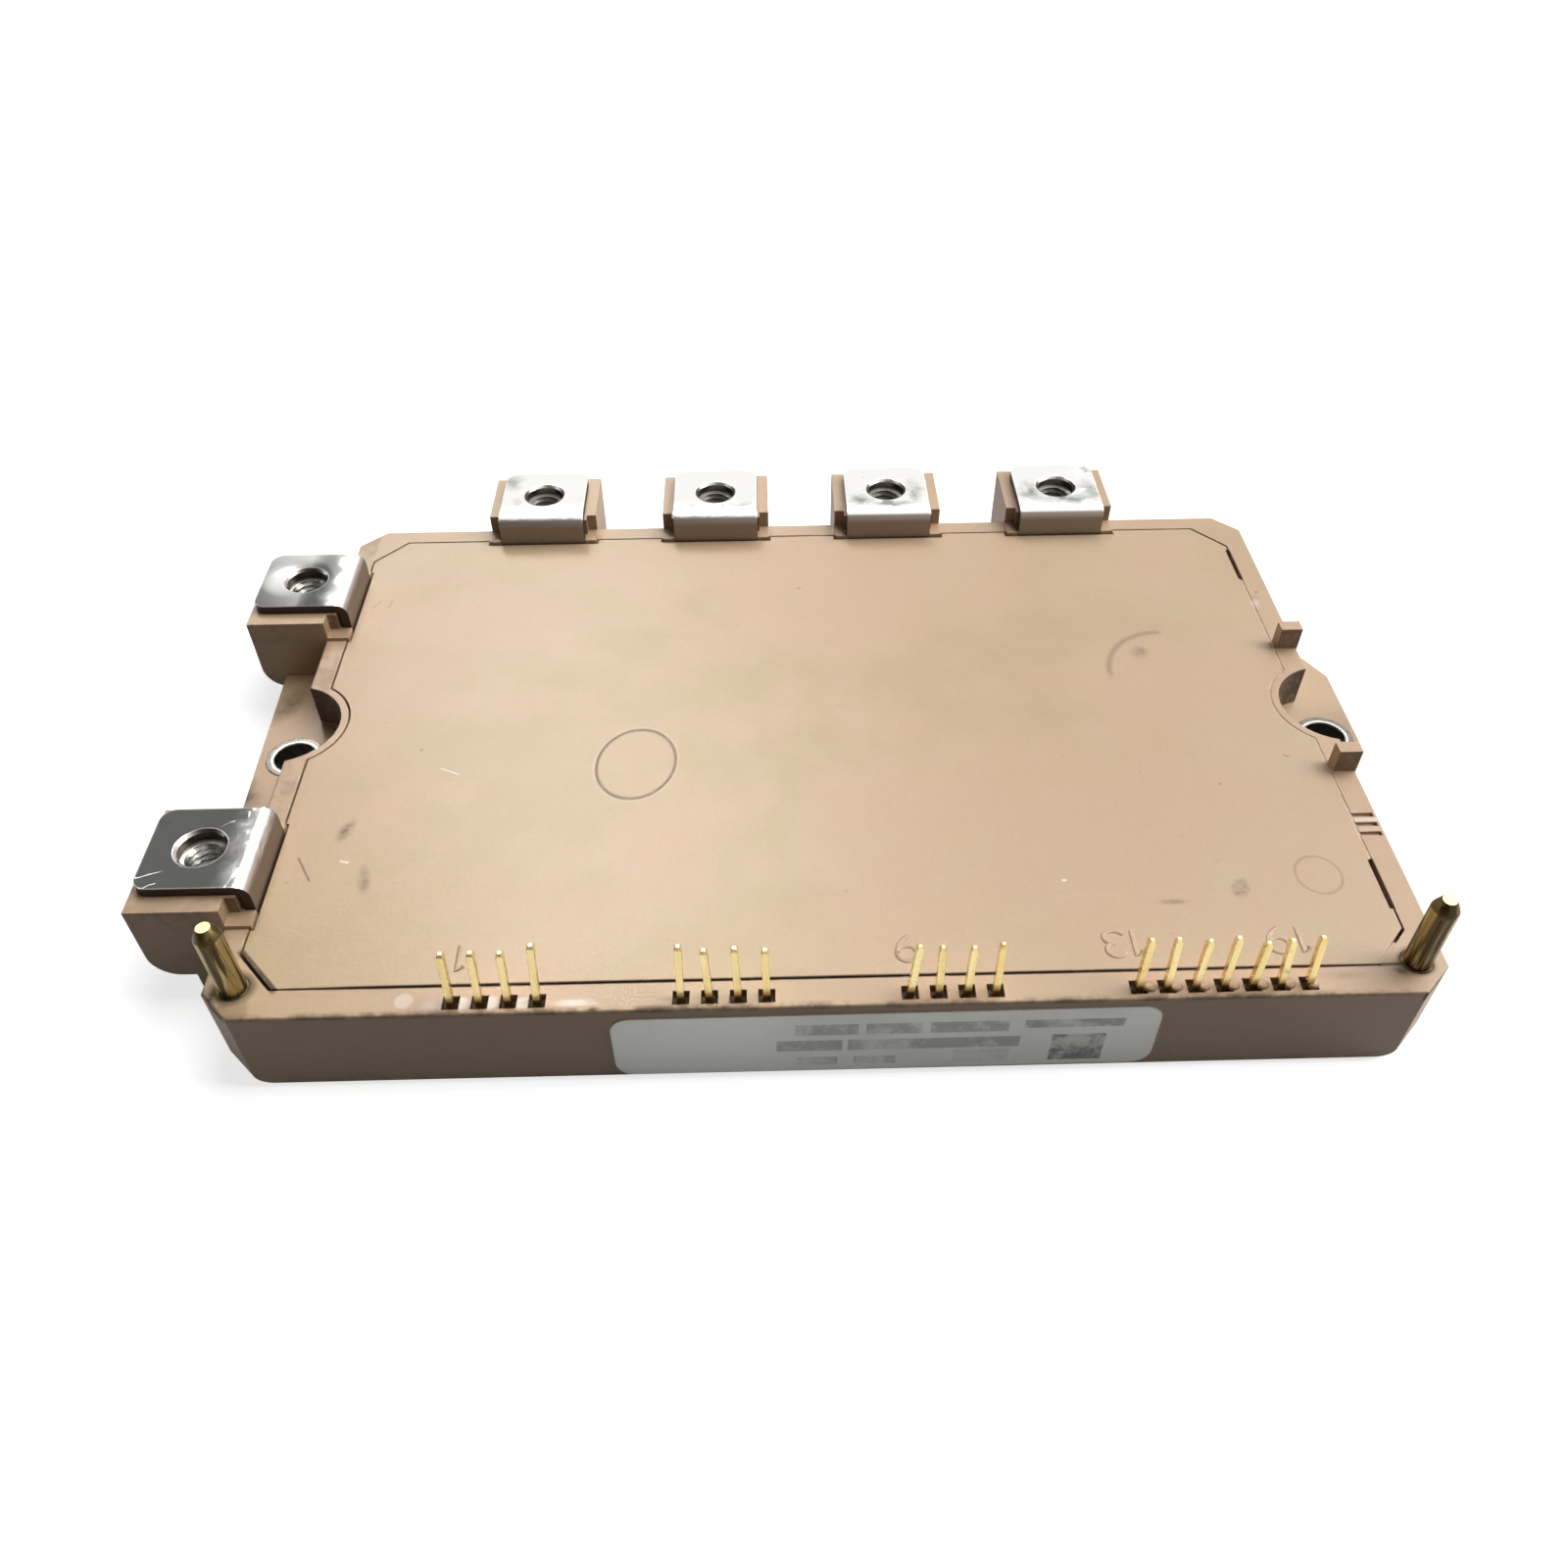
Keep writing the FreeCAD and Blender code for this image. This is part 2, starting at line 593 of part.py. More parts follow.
# A guide pin: a brass stud turned to a coned tip, on a thicker root that ends just above the rim.
def guide_pin(side):
    radius = GUIDE_DIAMETER / 2.0
    root = GUIDE_ROOT_DIAMETER / 2.0
    bottom = RIM_HEIGHT - GUIDE_SEAT_DEPTH
    root_top = RIM_HEIGHT + GUIDE_ROOT_PROUD
    top = RIM_HEIGHT + GUIDE_TALL
    profile = [(0, bottom), (root, bottom), (root, root_top), (radius, root_top),
               (radius, top - GUIDE_TIP_LENGTH), (GUIDE_TIP_DIAMETER / 2.0, top), (0, top)]
    corners = [Vector(x, 0, z) for x, z in profile]
    half_section = Part.Face(Part.makePolygon(corners + corners[:1]))
    stud = half_section.revolve(Vector(0, 0, 0), Vector(0, 0, 1), 360)
    stud.translate(Vector(side * GUIDE_X, GUIDE_Y, 0))
    return stud


def guide_seats():
    diameter = GUIDE_ROOT_DIAMETER + 2.0 * GUIDE_CLEARANCE
    seats = []
    for side in (-1, 1):
        seats.append(cylinder(side * GUIDE_X, GUIDE_Y, RIM_HEIGHT - GUIDE_SEAT_DEPTH,
                              RIM_HEIGHT, diameter))
    return seats


def rim_tabs():
    tabs = []
    for y in (TAB_FRONT_Y, TAB_BACK_Y):
        tabs.append(block(HALF_WIDTH - TAB_WIDTH, HALF_WIDTH, y, y + TAB_LENGTH,
                          RIM_HEIGHT - 2.0 * TOP_EDGE_RADIUS, RIM_HEIGHT + TAB_HEIGHT))
    return tabs


# Short shallow grooves across the right rim, which stop just before its outer edge.
def rim_grooves():
    x1 = HALF_WIDTH - RIM_GROOVE_EDGE
    grooves = []
    for index in range(RIM_GROOVE_COUNT):
        y = RIM_GROOVE_BACK_Y - index * RIM_GROOVE_PITCH
        grooves.append(block(x1 - RIM_GROOVE_LENGTH, x1, y - RIM_GROOVE_WIDTH / 2.0,
                             y + RIM_GROOVE_WIDTH / 2.0, RIM_HEIGHT - RIM_GROOVE_DEPTH,
                             RIM_HEIGHT))
    return grooves


def lid_slits(z0, z1):
    slits = []
    for y in (LID_FRONT + LID_SLIT_FRONT_INSET, LID_BACK - LID_SLIT_BACK_INSET):
        slits.append(block(LID_RIGHT - LID_SLIT_WIDTH / 2.0, LID_RIGHT + LID_SLIT_WIDTH / 2.0,
                           y - LID_SLIT_LENGTH / 2.0, y + LID_SLIT_LENGTH / 2.0, z0, z1))
    return slits


# The bay of the control board, which the gel stays out of, with the outline moved out by grow.
def board_bay(grow):
    return block(-BOARD_LEFT - BOARD_GAP - grow, LID_RIGHT, LID_FRONT,
                 BOARD_BACK + BOARD_GAP + grow, BASE_THICKNESS, GEL_TOP)


# Shelves inside the window: along the front for the pin feet and the board's edge, one under
# each terminal foot, a cross rib that carries the back edge of the board, and a thin dam round
# the board's bay.
def inner_shelves():
    window = lid_prism(-LEDGE, BASE_THICKNESS, LID_BOTTOM)
    front = block(-LID_LEFT, LID_RIGHT, LID_FRONT, BOARD_FRONT - BOARD_GAP, BASE_THICKNESS,
                  PIN_FOOT_HEIGHT)
    board_lap = block(-LID_LEFT, LID_RIGHT, LID_FRONT, SHELF_BACK, BASE_THICKNESS, BOARD_HEIGHT)
    rib = block(-LID_LEFT, LID_RIGHT, BOARD_BACK - RIB_THICKNESS / 2.0,
                BOARD_BACK + RIB_THICKNESS / 2.0, BASE_THICKNESS, BOARD_HEIGHT)
    dam = board_bay(DAM_THICKNESS).cut(board_bay(0.0))
    shelves = [front, board_lap, rib, dam]
    half = LEG_WIDTH / 2.0 + SKIRT_WALL
    for station in terminal_stations().values():
        foot_rest = block(-FOOT_LENGTH - PLATE_THICKNESS, 0, -half, half, BASE_THICKNESS,
                          FOOT_HEIGHT)
        shelves.append(placed(foot_rest, station))
    return fused(shelves).common(window)


# The moulded case frame: the rim and skirt, six terminal towers, the screw pockets, the seats
# of the lid, base plate, collars and pins, and the inner shelves.
def case_frame():
    stations = list(terminal_stations().values())
    solids = [body_block(), left_flange(), right_ear()]
    solids += [tower(station) for station in stations]
    frame = fused(solids)
    cuts = [lid_prism(LID_GAP, LID_BOTTOM, RIM_HEIGHT)]
    cuts.append(lid_prism(-LEDGE, BASE_THICKNESS, LID_BOTTOM))
    cuts.append(base_slab(BASE_GAP, SKIRT_LIFT, BASE_THICKNESS))
    for side in (-1, 1):
        x = side * MOUNT_X
        cuts.append(cylinder(x, 0, FLANGE_TOP, RIM_HEIGHT, 2.0 * POCKET_RADIUS))
        cuts.append(cylinder(x, 0, BASE_THICKNESS, FLANGE_TOP,
                             COLLAR_DIAMETER + 2.0 * INSERT_CLEARANCE))
    cuts += guide_seats()
    cuts += rim_grooves()
    cuts += lid_slits(RIM_HEIGHT - LID_SLIT_DEPTH, RIM_HEIGHT)
    frame = frame.cut(fused(cuts))
    frame = fused([frame, inner_shelves()] + rim_tabs())
    inserts = pin_sockets()
    for station in stations:
        inserts += tower_openings(station)
    return frame.cut(fused(inserts))


def lid():
    sheet = lid_prism(0.0, LID_BOTTOM, RIM_HEIGHT)
    return sheet.cut(fused(lid_slits(RIM_HEIGHT - LID_SLIT_DEPTH, RIM_HEIGHT)))


def label():
    x0 = -LABEL_WIDTH / 2.0
    x1 = LABEL_WIDTH / 2.0
    z0 = -LABEL_HEIGHT / 2.0
    z1 = LABEL_HEIGHT / 2.0
    sheet = Part.makeBox(x1 - x0, LABEL_THICKNESS, z1 - z0, Vector(x0, -LABEL_THICKNESS, z0))
    corners = []
    for edge in sheet.Edges:
        if abs(edge.BoundBox.YLength - LABEL_THICKNESS) < 1e-6:
            corners.append(edge)
    sheet = sheet.makeFillet(LABEL_CORNER, corners)
    sheet.rotate(Vector(0, 0, 0), Vector(0, 1, 0), -LABEL_TILT)
    sheet.translate(Vector(LABEL_X, FRONT, RIM_HEIGHT - LABEL_CENTRE_BELOW_RIM))
    return sheet


def substrate_x(index):
    return SUBSTRATE_LEFT + SUBSTRATE_WIDTH / 2.0 + index * SUBSTRATE_STEP


def substrate_sheet(index, margin, z0, z1):
    x = substrate_x(index)
    half_width = SUBSTRATE_WIDTH / 2.0 - margin
    return block(x - half_width, x + half_width, SUBSTRATE_FRONT + margin,
                 SUBSTRATE_BACK - margin, z0, z1)


def ceramic_substrate(index):
    return substrate_sheet(index, 0.0, CERAMIC_BOTTOM, TRACK_BOTTOM)


# Copper on both sides of a ceramic: a whole foil below and two tracks above.
def substrate_copper(index):
    foil = substrate_sheet(index, COPPER_MARGIN, BASE_THICKNESS, CERAMIC_BOTTOM)
    face = substrate_sheet(index, COPPER_MARGIN, TRACK_BOTTOM, TRACK_TOP)
    bounds = face.BoundBox
    channel = block(bounds.XMin, bounds.XMax, TRACK_SPLIT_Y - TRACK_GAP / 2.0,
                    TRACK_SPLIT_Y + TRACK_GAP / 2.0, TRACK_BOTTOM, TRACK_TOP)
    return Part.makeCompound([foil] + face.cut(channel).Solids)


# The upper row of chips sits just behind the gap between the tracks, the lower row before it.
def chip_row(index, row):
    x = substrate_x(index)
    if row == "upper":
        y = TRACK_SPLIT_Y + TRACK_GAP / 2.0 + IGBT_SIDE / 2.0 + CHIP_EDGE
    else:
        y = TRACK_SPLIT_Y - TRACK_GAP / 2.0 - IGBT_SIDE / 2.0 - CHIP_SPACING
    return x, y


def igbt_chip(index, row):
    x, y = chip_row(index, row)
    centre = x - (CHIP_SPACING + DIODE_WIDTH) / 2.0
    half = IGBT_SIDE / 2.0
    return block(centre - half, centre + half, y - half, y + half, TRACK_TOP, CHIP_TOP)


def diode_chip(index, row):
    x, y = chip_row(index, row)
    centre = x + (CHIP_SPACING + IGBT_SIDE) / 2.0
    half_width = DIODE_WIDTH / 2.0
    half_depth = DIODE_DEPTH / 2.0
    return block(centre - half_width, centre + half_width, y - half_depth, y + half_depth,
                 TRACK_TOP, CHIP_TOP)


# A bond wire as a flat-topped loop between two places in a plane of constant X.
def bond_wire(x, y0, z0, y1, z1):
    slope = WIRE_RISE / 2.0
    top = max(z0, z1) + WIRE_RISE
    side = WIRE_SIDE
    outer = [(y0 - side / 2.0, z0), (y0 + slope - side, top), (y1 - slope + side, top),
             (y1 + side / 2.0, z1)]
    inner = [(y1 - side / 2.0, z1), (y1 - slope, top - side), (y0 + slope, top - side),
             (y0 + side / 2.0, z0)]
    corners = [Vector(x - side / 2.0, y, z) for y, z in outer + inner]
    outline = Part.makePolygon(corners + corners[:1])
    return Part.Face(outline).extrude(Vector(side, 0, 0))


def spread(middle, count):
    return [middle + (step - (count - 1) / 2.0) * WIRE_PITCH for step in range(count)]


# Wires from the upper chips over the gap to the front track.
def chip_wires(index):
    landing = TRACK_SPLIT_Y - TRACK_GAP / 2.0 - CHIP_SPACING / 2.0
    wires = []
    for chip in (igbt_chip(index, "upper"), diode_chip(index, "upper")):
        bounds = chip.BoundBox
        middle = (bounds.XMin + bounds.XMax) / 2.0
        for x in spread(middle, CHIP_WIRE_COUNT):
            wires.append(bond_wire(x, landing, TRACK_TOP, bounds.YMin + CHIP_SPACING, CHIP_TOP))
    return wires


# Wires from a back terminal's foot to the back edge of the track behind the chips.
def terminal_wires(station):
    place = station[0]
    wires = []
    for x in spread(place.x, TERMINAL_WIRE_COUNT):
        wires.append(bond_wire(x, TRACK_BACK_Y - WIRE_SIDE, TRACK_TOP,
                               place.y - FOOT_LENGTH + CHIP_SPACING,
                               FOOT_HEIGHT + PLATE_THICKNESS))
    return wires


def bond_wires():
    wires = []
    for index in range(SUBSTRATE_COUNT):
        wires += chip_wires(index)
    for name, station in terminal_stations().items():
        if name.startswith("main_terminal_back"):
            wires += terminal_wires(station)
    return Part.makeCompound(wires)


# A copper bar from the foot of a left terminal to the track of the first substrate. It lies on
# the foot, runs along the case wall and turns in over the track.
def bus_bar(foot_y, landing_y):
    bottom = FOOT_HEIGHT + PLATE_THICKNESS
    top = bottom + BUS_BAR_THICKNESS
    half = BUS_BAR_WIDTH / 2.0
    start = -WINDOW_LEFT + BUS_BAR_WALL_ROOM
    run = block(start, start + BUS_BAR_WIDTH, min(foot_y, landing_y - half),
                max(foot_y, landing_y + half), bottom, top)
    end = SUBSTRATE_LEFT + COPPER_MARGIN + half
    arm = block(start, end, landing_y - half, landing_y + half, bottom, top)
    leg = block(end - half, end, landing_y - half, landing_y + half, TRACK_TOP, top)
    return fused([run, arm, leg])


def control_board():
    return block(-BOARD_LEFT, BOARD_RIGHT, BOARD_FRONT, BOARD_BACK, BOARD_HEIGHT,
                 BOARD_HEIGHT + BOARD_THICKNESS)


def driver_chips():
    centre = (BOARD_RIGHT - BOARD_LEFT) / 2.0
    y = (BOARD_FRONT + BOARD_BACK) / 2.0
    bottom = BOARD_HEIGHT + BOARD_THICKNESS
    chips = []
    for index in range(DRIVER_COUNT):
        x = centre + (index - (DRIVER_COUNT - 1) / 2.0) * DRIVER_PITCH
        chips.append(block(x - DRIVER_WIDTH / 2.0, x + DRIVER_WIDTH / 2.0,
                           y - DRIVER_DEPTH / 2.0, y + DRIVER_DEPTH / 2.0,
                           bottom, bottom + DRIVER_HEIGHT))
    return Part.makeCompound(chips)


# The silicone gel fills the window outside the board's bay up to its level, round everything
# that stands in it.
def silicone_gel(frame, inner_pieces):
    pool = lid_prism(-LEDGE, BASE_THICKNESS, GEL_TOP).cut(board_bay(DAM_THICKNESS))
    return pool.cut(frame).cut(fused(inner_pieces))


def build_nodes():
    stations = terminal_stations()
    nodes = {"base_plate": base_plate(), "case_frame": case_frame(), "lid": lid()}
    nodes["mounting_collar_left"] = mounting_collar(-1)
    nodes["mounting_collar_right"] = mounting_collar(1)
    for name, station in stations.items():
        nodes[name] = main_terminal(station)
    nuts = [terminal_nut(station) for station in stations.values()]
    nodes["terminal_nuts"] = Part.makeCompound(nuts)
    for index, column in enumerate(pin_columns()):
        nodes["control_pin_%02d" % (index + 1)] = control_pin(index, column)
    nodes["guide_pin_left"] = guide_pin(-1)
    nodes["guide_pin_right"] = guide_pin(1)
    nodes["label"] = label()
    inner = {}
    for index in range(SUBSTRATE_COUNT):
        number = index + 1
        inner["ceramic_substrate_%d" % number] = ceramic_substrate(index)
        inner["substrate_copper_%d" % number] = substrate_copper(index)
        for row in ("upper", "lower"):
            inner["igbt_chip_%s_%d" % (row, number)] = igbt_chip(index, row)
            inner["diode_chip_%s_%d" % (row, number)] = diode_chip(index, row)
    inner["bond_wires"] = bond_wires()
    inner["control_board"] = control_board()
    inner["driver_chips"] = driver_chips()
    inner["bus_bar_front"] = bus_bar(LEFT_FRONT_TERMINAL_Y, SUBSTRATE_FRONT + BUS_BAR_FRONT_INSET)
    inner["bus_bar_back"] = bus_bar(LEFT_BACK_TERMINAL_Y, SUBSTRATE_BACK - BUS_BAR_BACK_INSET)
    nodes.update(inner)
    feet = [nodes[name] for name in nodes if name.startswith(("main_terminal", "control_pin"))]
    pieces = []
    for shape in list(inner.values()) + feet:
        pieces += shape.Solids
    nodes["silicone_gel"] = silicone_gel(nodes["case_frame"], pieces)
    return nodes


def main():
    os.makedirs("parts", exist_ok=True)
    for name, shape in build_nodes().items():
        shape.exportStep(os.path.join("parts", name + ".step"))


main()
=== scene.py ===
from math import atan2, cos, pi, radians, sin, sqrt

import bmesh
import bpy
from mathutils import Matrix, Vector


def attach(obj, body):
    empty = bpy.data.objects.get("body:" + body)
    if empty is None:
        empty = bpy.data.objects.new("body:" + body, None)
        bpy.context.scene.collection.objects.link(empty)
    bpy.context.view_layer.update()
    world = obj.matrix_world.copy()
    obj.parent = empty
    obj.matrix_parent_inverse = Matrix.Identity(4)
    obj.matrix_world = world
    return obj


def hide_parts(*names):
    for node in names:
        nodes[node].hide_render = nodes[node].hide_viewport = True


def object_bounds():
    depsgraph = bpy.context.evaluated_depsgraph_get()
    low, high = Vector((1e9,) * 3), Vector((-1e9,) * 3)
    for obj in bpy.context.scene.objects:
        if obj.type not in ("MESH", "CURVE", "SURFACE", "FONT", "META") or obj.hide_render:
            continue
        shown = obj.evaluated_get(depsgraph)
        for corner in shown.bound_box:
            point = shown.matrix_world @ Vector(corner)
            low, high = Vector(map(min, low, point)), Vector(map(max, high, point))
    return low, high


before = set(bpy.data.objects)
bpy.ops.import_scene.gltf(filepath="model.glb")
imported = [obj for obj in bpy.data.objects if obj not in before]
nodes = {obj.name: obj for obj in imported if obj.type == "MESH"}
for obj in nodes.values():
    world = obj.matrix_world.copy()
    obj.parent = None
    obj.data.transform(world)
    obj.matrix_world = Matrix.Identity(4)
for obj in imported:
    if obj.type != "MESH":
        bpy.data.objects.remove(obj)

# The part's lengths are given in millimetres in its own frame, and MM turns them into metres.
# Camera, floor and lights are given in metres.
MM = 0.001
cad_box = [list(corner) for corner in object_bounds()]

MOUNT_X = 57.5
GUIDE_X = 53.2
GUIDE_Y = -35.9
PIN_Y = -38.1
PIN_NUMBER_Y = -33.1
NUT_BOTTOM = 9.7
NUT_TOP = 12.9
GLUE_BOTTOM = 9.6
GLUE_TOP = 10.46
GLUE_HOLLOW = 10.42

# Turns that carry local +X to the outside, at the left and at the back.
TO_LEFT = 180.0
TO_BACK = 90.0

# Centre of each terminal's hole, and the terminal's turn.
TERMINALS = {
    "main_terminal_left_front": (-59.0, -21.75, TO_LEFT),
    "main_terminal_left_back": (-59.0, 21.75, TO_LEFT),
    "main_terminal_back_1": (-32.775, 39.5, TO_BACK),
    "main_terminal_back_2": (-10.925, 39.5, TO_BACK),
    "main_terminal_back_3": (10.925, 39.5, TO_BACK),
    "main_terminal_back_4": (32.775, 39.5, TO_BACK),
}

# Stretches a flat pattern so far along Z that height has no part in it.
ENDLESS = 1e3


# The camera stands in front of the pin edge and looks down at the lid.
def make_camera():
    right = Vector((0.99968638, -0.02443665, -0.00547571)).normalized()
    ahead = Vector((0.01311042, 0.69699263, -0.71695843)).normalized()
    up = right.cross(ahead).normalized()
    data = bpy.data.cameras.new("camera")
    data.sensor_width = 36.0
    data.lens = 29.92
    data.shift_y = 0.0292
    data.clip_start = 0.005
    data.clip_end = 20.0
    camera = bpy.data.objects.new("camera", data)
    turn = Matrix((right, up, -ahead)).transposed().to_4x4()
    camera.matrix_world = Matrix.Translation((-0.00525, -0.10806, 0.10349)) @ turn
    bpy.context.scene.collection.objects.link(camera)
    bpy.context.scene.camera = camera


# Short calls that add nodes to a tree and give back their outputs.
class Tree:
    def __init__(self, tree):
        self.tree = tree
        tree.nodes.clear()

    def node(self, kind):
        return self.tree.nodes.new(kind)

    def link(self, source, target):
        self.tree.links.new(source, target)

    def put(self, value, target):
        """Links a socket to the target, or gives it a number or a colour."""
        if isinstance(value, bpy.types.NodeSocket):
            self.link(value, target)
        elif isinstance(value, tuple):
            target.default_value = (*value, 1.0)
        else:
            target.default_value = value

    def math(self, operation, a, b=0.0):
        n = self.node("ShaderNodeMath")
        n.operation = operation
        self.put(a, n.inputs[0])
        self.put(b, n.inputs[1])
        return n.outputs[0]

    def fold(self, operation, values):
        result = values[0]
        for value in values[1:]:
            result = self.math(operation, result, value)
        return result

    def times(self, *values):
        return self.fold("MULTIPLY", values)

    def plus(self, *values):
        return self.fold("ADD", values)

    def most(self, *values):
        return self.fold("MAXIMUM", values)

    def span(self, value, a, b, c=0.0, d=1.0):
        """A smooth step from c, where the value is a, to d, where it is b."""
        n = self.node("ShaderNodeMapRange")
        n.interpolation_type = "SMOOTHSTEP"
        self.put(value, n.inputs["Value"])
        for key, number in (("From Min", a), ("From Max", b), ("To Min", c), ("To Max", d)):
            n.inputs[key].default_value = number
        return n.outputs[0]

    def fade(self, value, a, b, c=0.0, d=1.0):
        """The same step, with a and b in millimetres."""
        return self.span(value, a * MM, b * MM, c, d)

    def window(self, value, a, b, c, d):
        """Rises from 0 at a to 1 at b and falls to 0 again from c to d, in millimetres."""
        return self.times(self.fade(value, a, b), self.fade(value, d, c))

    def sector(self, angle, a, b, c=0.0, d=1.0):
        """The same step, with a and b in degrees."""
        return self.span(angle, radians(a), radians(b), c, d)

    def mix(self, factor, a, b):
        n = self.node("ShaderNodeMix")
        n.data_type = "RGBA"
        self.put(factor, n.inputs[0])
        self.put(a, n.inputs[6])
        self.put(b, n.inputs[7])
        return n.outputs[2]

    def axes(self, where):
        n = self.node("ShaderNodeSeparateXYZ")
        self.link(where, n.inputs[0])
        return n.outputs


# A material under construction. Its patterns lie in the part's own frame.
class Shade(Tree):
    def __init__(self, name):
        self.material = bpy.data.materials.new(name)
        self.material.use_nodes = True
        super().__init__(self.material.node_tree)
        self.out = self.node("ShaderNodeOutputMaterial")
        self.bsdf = self.node("ShaderNodeBsdfPrincipled")
        self.link(self.bsdf.outputs["BSDF"], self.out.inputs["Surface"])
        self.place = self.node("ShaderNodeTexCoord").outputs["Object"]
        self.normal = self.node("ShaderNodeNewGeometry").outputs["Normal"]

    def mapped(self, move=(0, 0, 0), turn=(0, 0, 0), scale=(1, 1, 1), kind="POINT"):
        n = self.node("ShaderNodeMapping")
        n.vector_type = kind
        self.link(self.place, n.inputs["Vector"])
        n.inputs["Location"].default_value = move
        n.inputs["Rotation"].default_value = turn
        n.inputs["Scale"].default_value = scale
        return n.outputs[0]

    def noise(self, scale, detail, rough, stretch=None):
        n = self.node("ShaderNodeTexNoise")
        where = self.mapped(scale=stretch) if stretch else self.place
        self.link(where, n.inputs["Vector"])
        n.inputs["Scale"].default_value = scale
        n.inputs["Detail"].default_value = detail
        n.inputs["Roughness"].default_value = rough
        return n.outputs[0]

    def warp(self, scale, amount):
        """Shifts the places of later patterns by noise, by half the amount on average."""
        noise = self.node("ShaderNodeTexNoise")
        self.link(self.place, noise.inputs["Vector"])
        noise.inputs["Scale"].default_value = scale
        noise.inputs["Detail"].default_value = 3.0
        shift = self.node("ShaderNodeVectorMath")
        shift.operation = "MULTIPLY_ADD"
        self.link(noise.outputs["Color"], shift.inputs[0])
        shift.inputs[1].default_value = (amount * MM, amount * MM, 0)
        self.link(self.place, shift.inputs[2])
        self.place = shift.outputs[0]

    def reach(self, x, y, rx, ry, turn=0.0):
        """Distance from (x, y), in units of the radii rx and ry."""
        where = self.mapped(move=(x * MM, y * MM, 0), turn=(0, 0, radians(turn)),
                            scale=(rx * MM, ry * MM, ENDLESS), kind="TEXTURE")
        length = self.node("ShaderNodeVectorMath")
        length.operation = "LENGTH"
        self.link(where, length.inputs[0])
        return length.outputs["Value"]

    def spot(self, x, y, rx, ry, turn=0.0, inner=0.0):
        """A soft spot, even up to the share inner of its radii."""
        return self.span(self.reach(x, y, rx, ry, turn), 1.0, inner)

    def line(self, x0, y0, x1, y1, width):
        """A straight mark of even width with tapered ends."""
        half = sqrt((x1 - x0) ** 2 + (y1 - y0) ** 2) / 2.0
        where = self.mapped(move=((x0 + x1) / 2.0 * MM, (y0 + y1) / 2.0 * MM, 0),
                            turn=(0, 0, atan2(y1 - y0, x1 - x0)),
                            scale=(half * MM, width / 2.0 * MM, ENDLESS), kind="TEXTURE")
        along, across, _ = self.axes(where)
        return self.times(self.span(self.math("ABSOLUTE", along), 1.0, 0.8),
                          self.span(self.math("ABSOLUTE", across), 1.0, 0.35))

    def ring(self, x, y, rx, ry, width, turn=0.0):
        """A thin ring; its width is a share of the radius."""
        off = self.math("ABSOLUTE", self.math("SUBTRACT", self.reach(x, y, rx, ry, turn), 1.0))
        return self.span(off, width, 0.0)

    def spots(self, rows):
        """Spots from rows of x, y, rx, ry, turn, inner and the share that shows."""
        return [self.times(self.spot(*row[:-1]), row[-1]) for row in rows]

    def lines(self, rows):
        """Lines from rows of x0, y0, x1, y1, width and the share that shows."""
        return [self.times(self.line(*row[:-1]), row[-1]) for row in rows]

    def rounded(self, radius):
        n = self.node("ShaderNodeBevel")
        n.samples = 4
        n.inputs["Radius"].default_value = radius * MM
        return n.outputs[0]

    def edge(self, radius):
        """1 along edges, 0 on the flats, where the rounded normal leaves the true one."""
        dot = self.node("ShaderNodeVectorMath")
        dot.operation = "DOT_PRODUCT"
        self.link(self.rounded(radius), dot.inputs[0])
        self.link(self.normal, dot.inputs[1])
        return self.span(dot.outputs["Value"], 0.99, 0.87)

    def bump(self, height, depth, normal=None):
        """Bumps whose height, for a value of 1, is depth in millimetres."""
        n = self.node("ShaderNodeBump")
        n.inputs["Strength"].default_value = 1.0
        n.inputs["Distance"].default_value = depth * MM
        self.put(height, n.inputs["Height"])
        if normal is not None:
            self.link(normal, n.inputs["Normal"])
        return n.outputs[0]

    def finish(self, colour, rough, normal=None, **more):
        self.put(colour, self.bsdf.inputs["Base Color"])
        self.put(rough, self.bsdf.inputs["Roughness"])
        if normal is not None:
            self.link(normal, self.bsdf.inputs["Normal"])
        for key, value in more.items():
            self.put(value, self.bsdf.inputs[key.replace("_", " ")])
        return self.material


def srgb(r, g, b):
    """An 8-bit display colour as linear numbers."""
    return tuple(((c / 255.0 + 0.055) / 1.055) ** 2.4 if c > 10 else c / 255.0 / 12.92
                 for c in (r, g, b))


TAN = srgb(179, 156, 120)
TAN_LIGHT = srgb(188, 166, 134)
TAN_DARK = srgb(164, 140, 107)
TAN_WARM = srgb(192, 159, 131)
TAN_BLOTCH = srgb(194, 162, 132)
TAN_PINK = srgb(188, 148, 120)
FILLER = srgb(136, 108, 82)
WORN_EDGE = srgb(226, 206, 182)
RUBBED_AND_HIGHLIGHT = srgb(240, 230, 216)
GRIME_AND_SHADE = srgb(74, 60, 48)
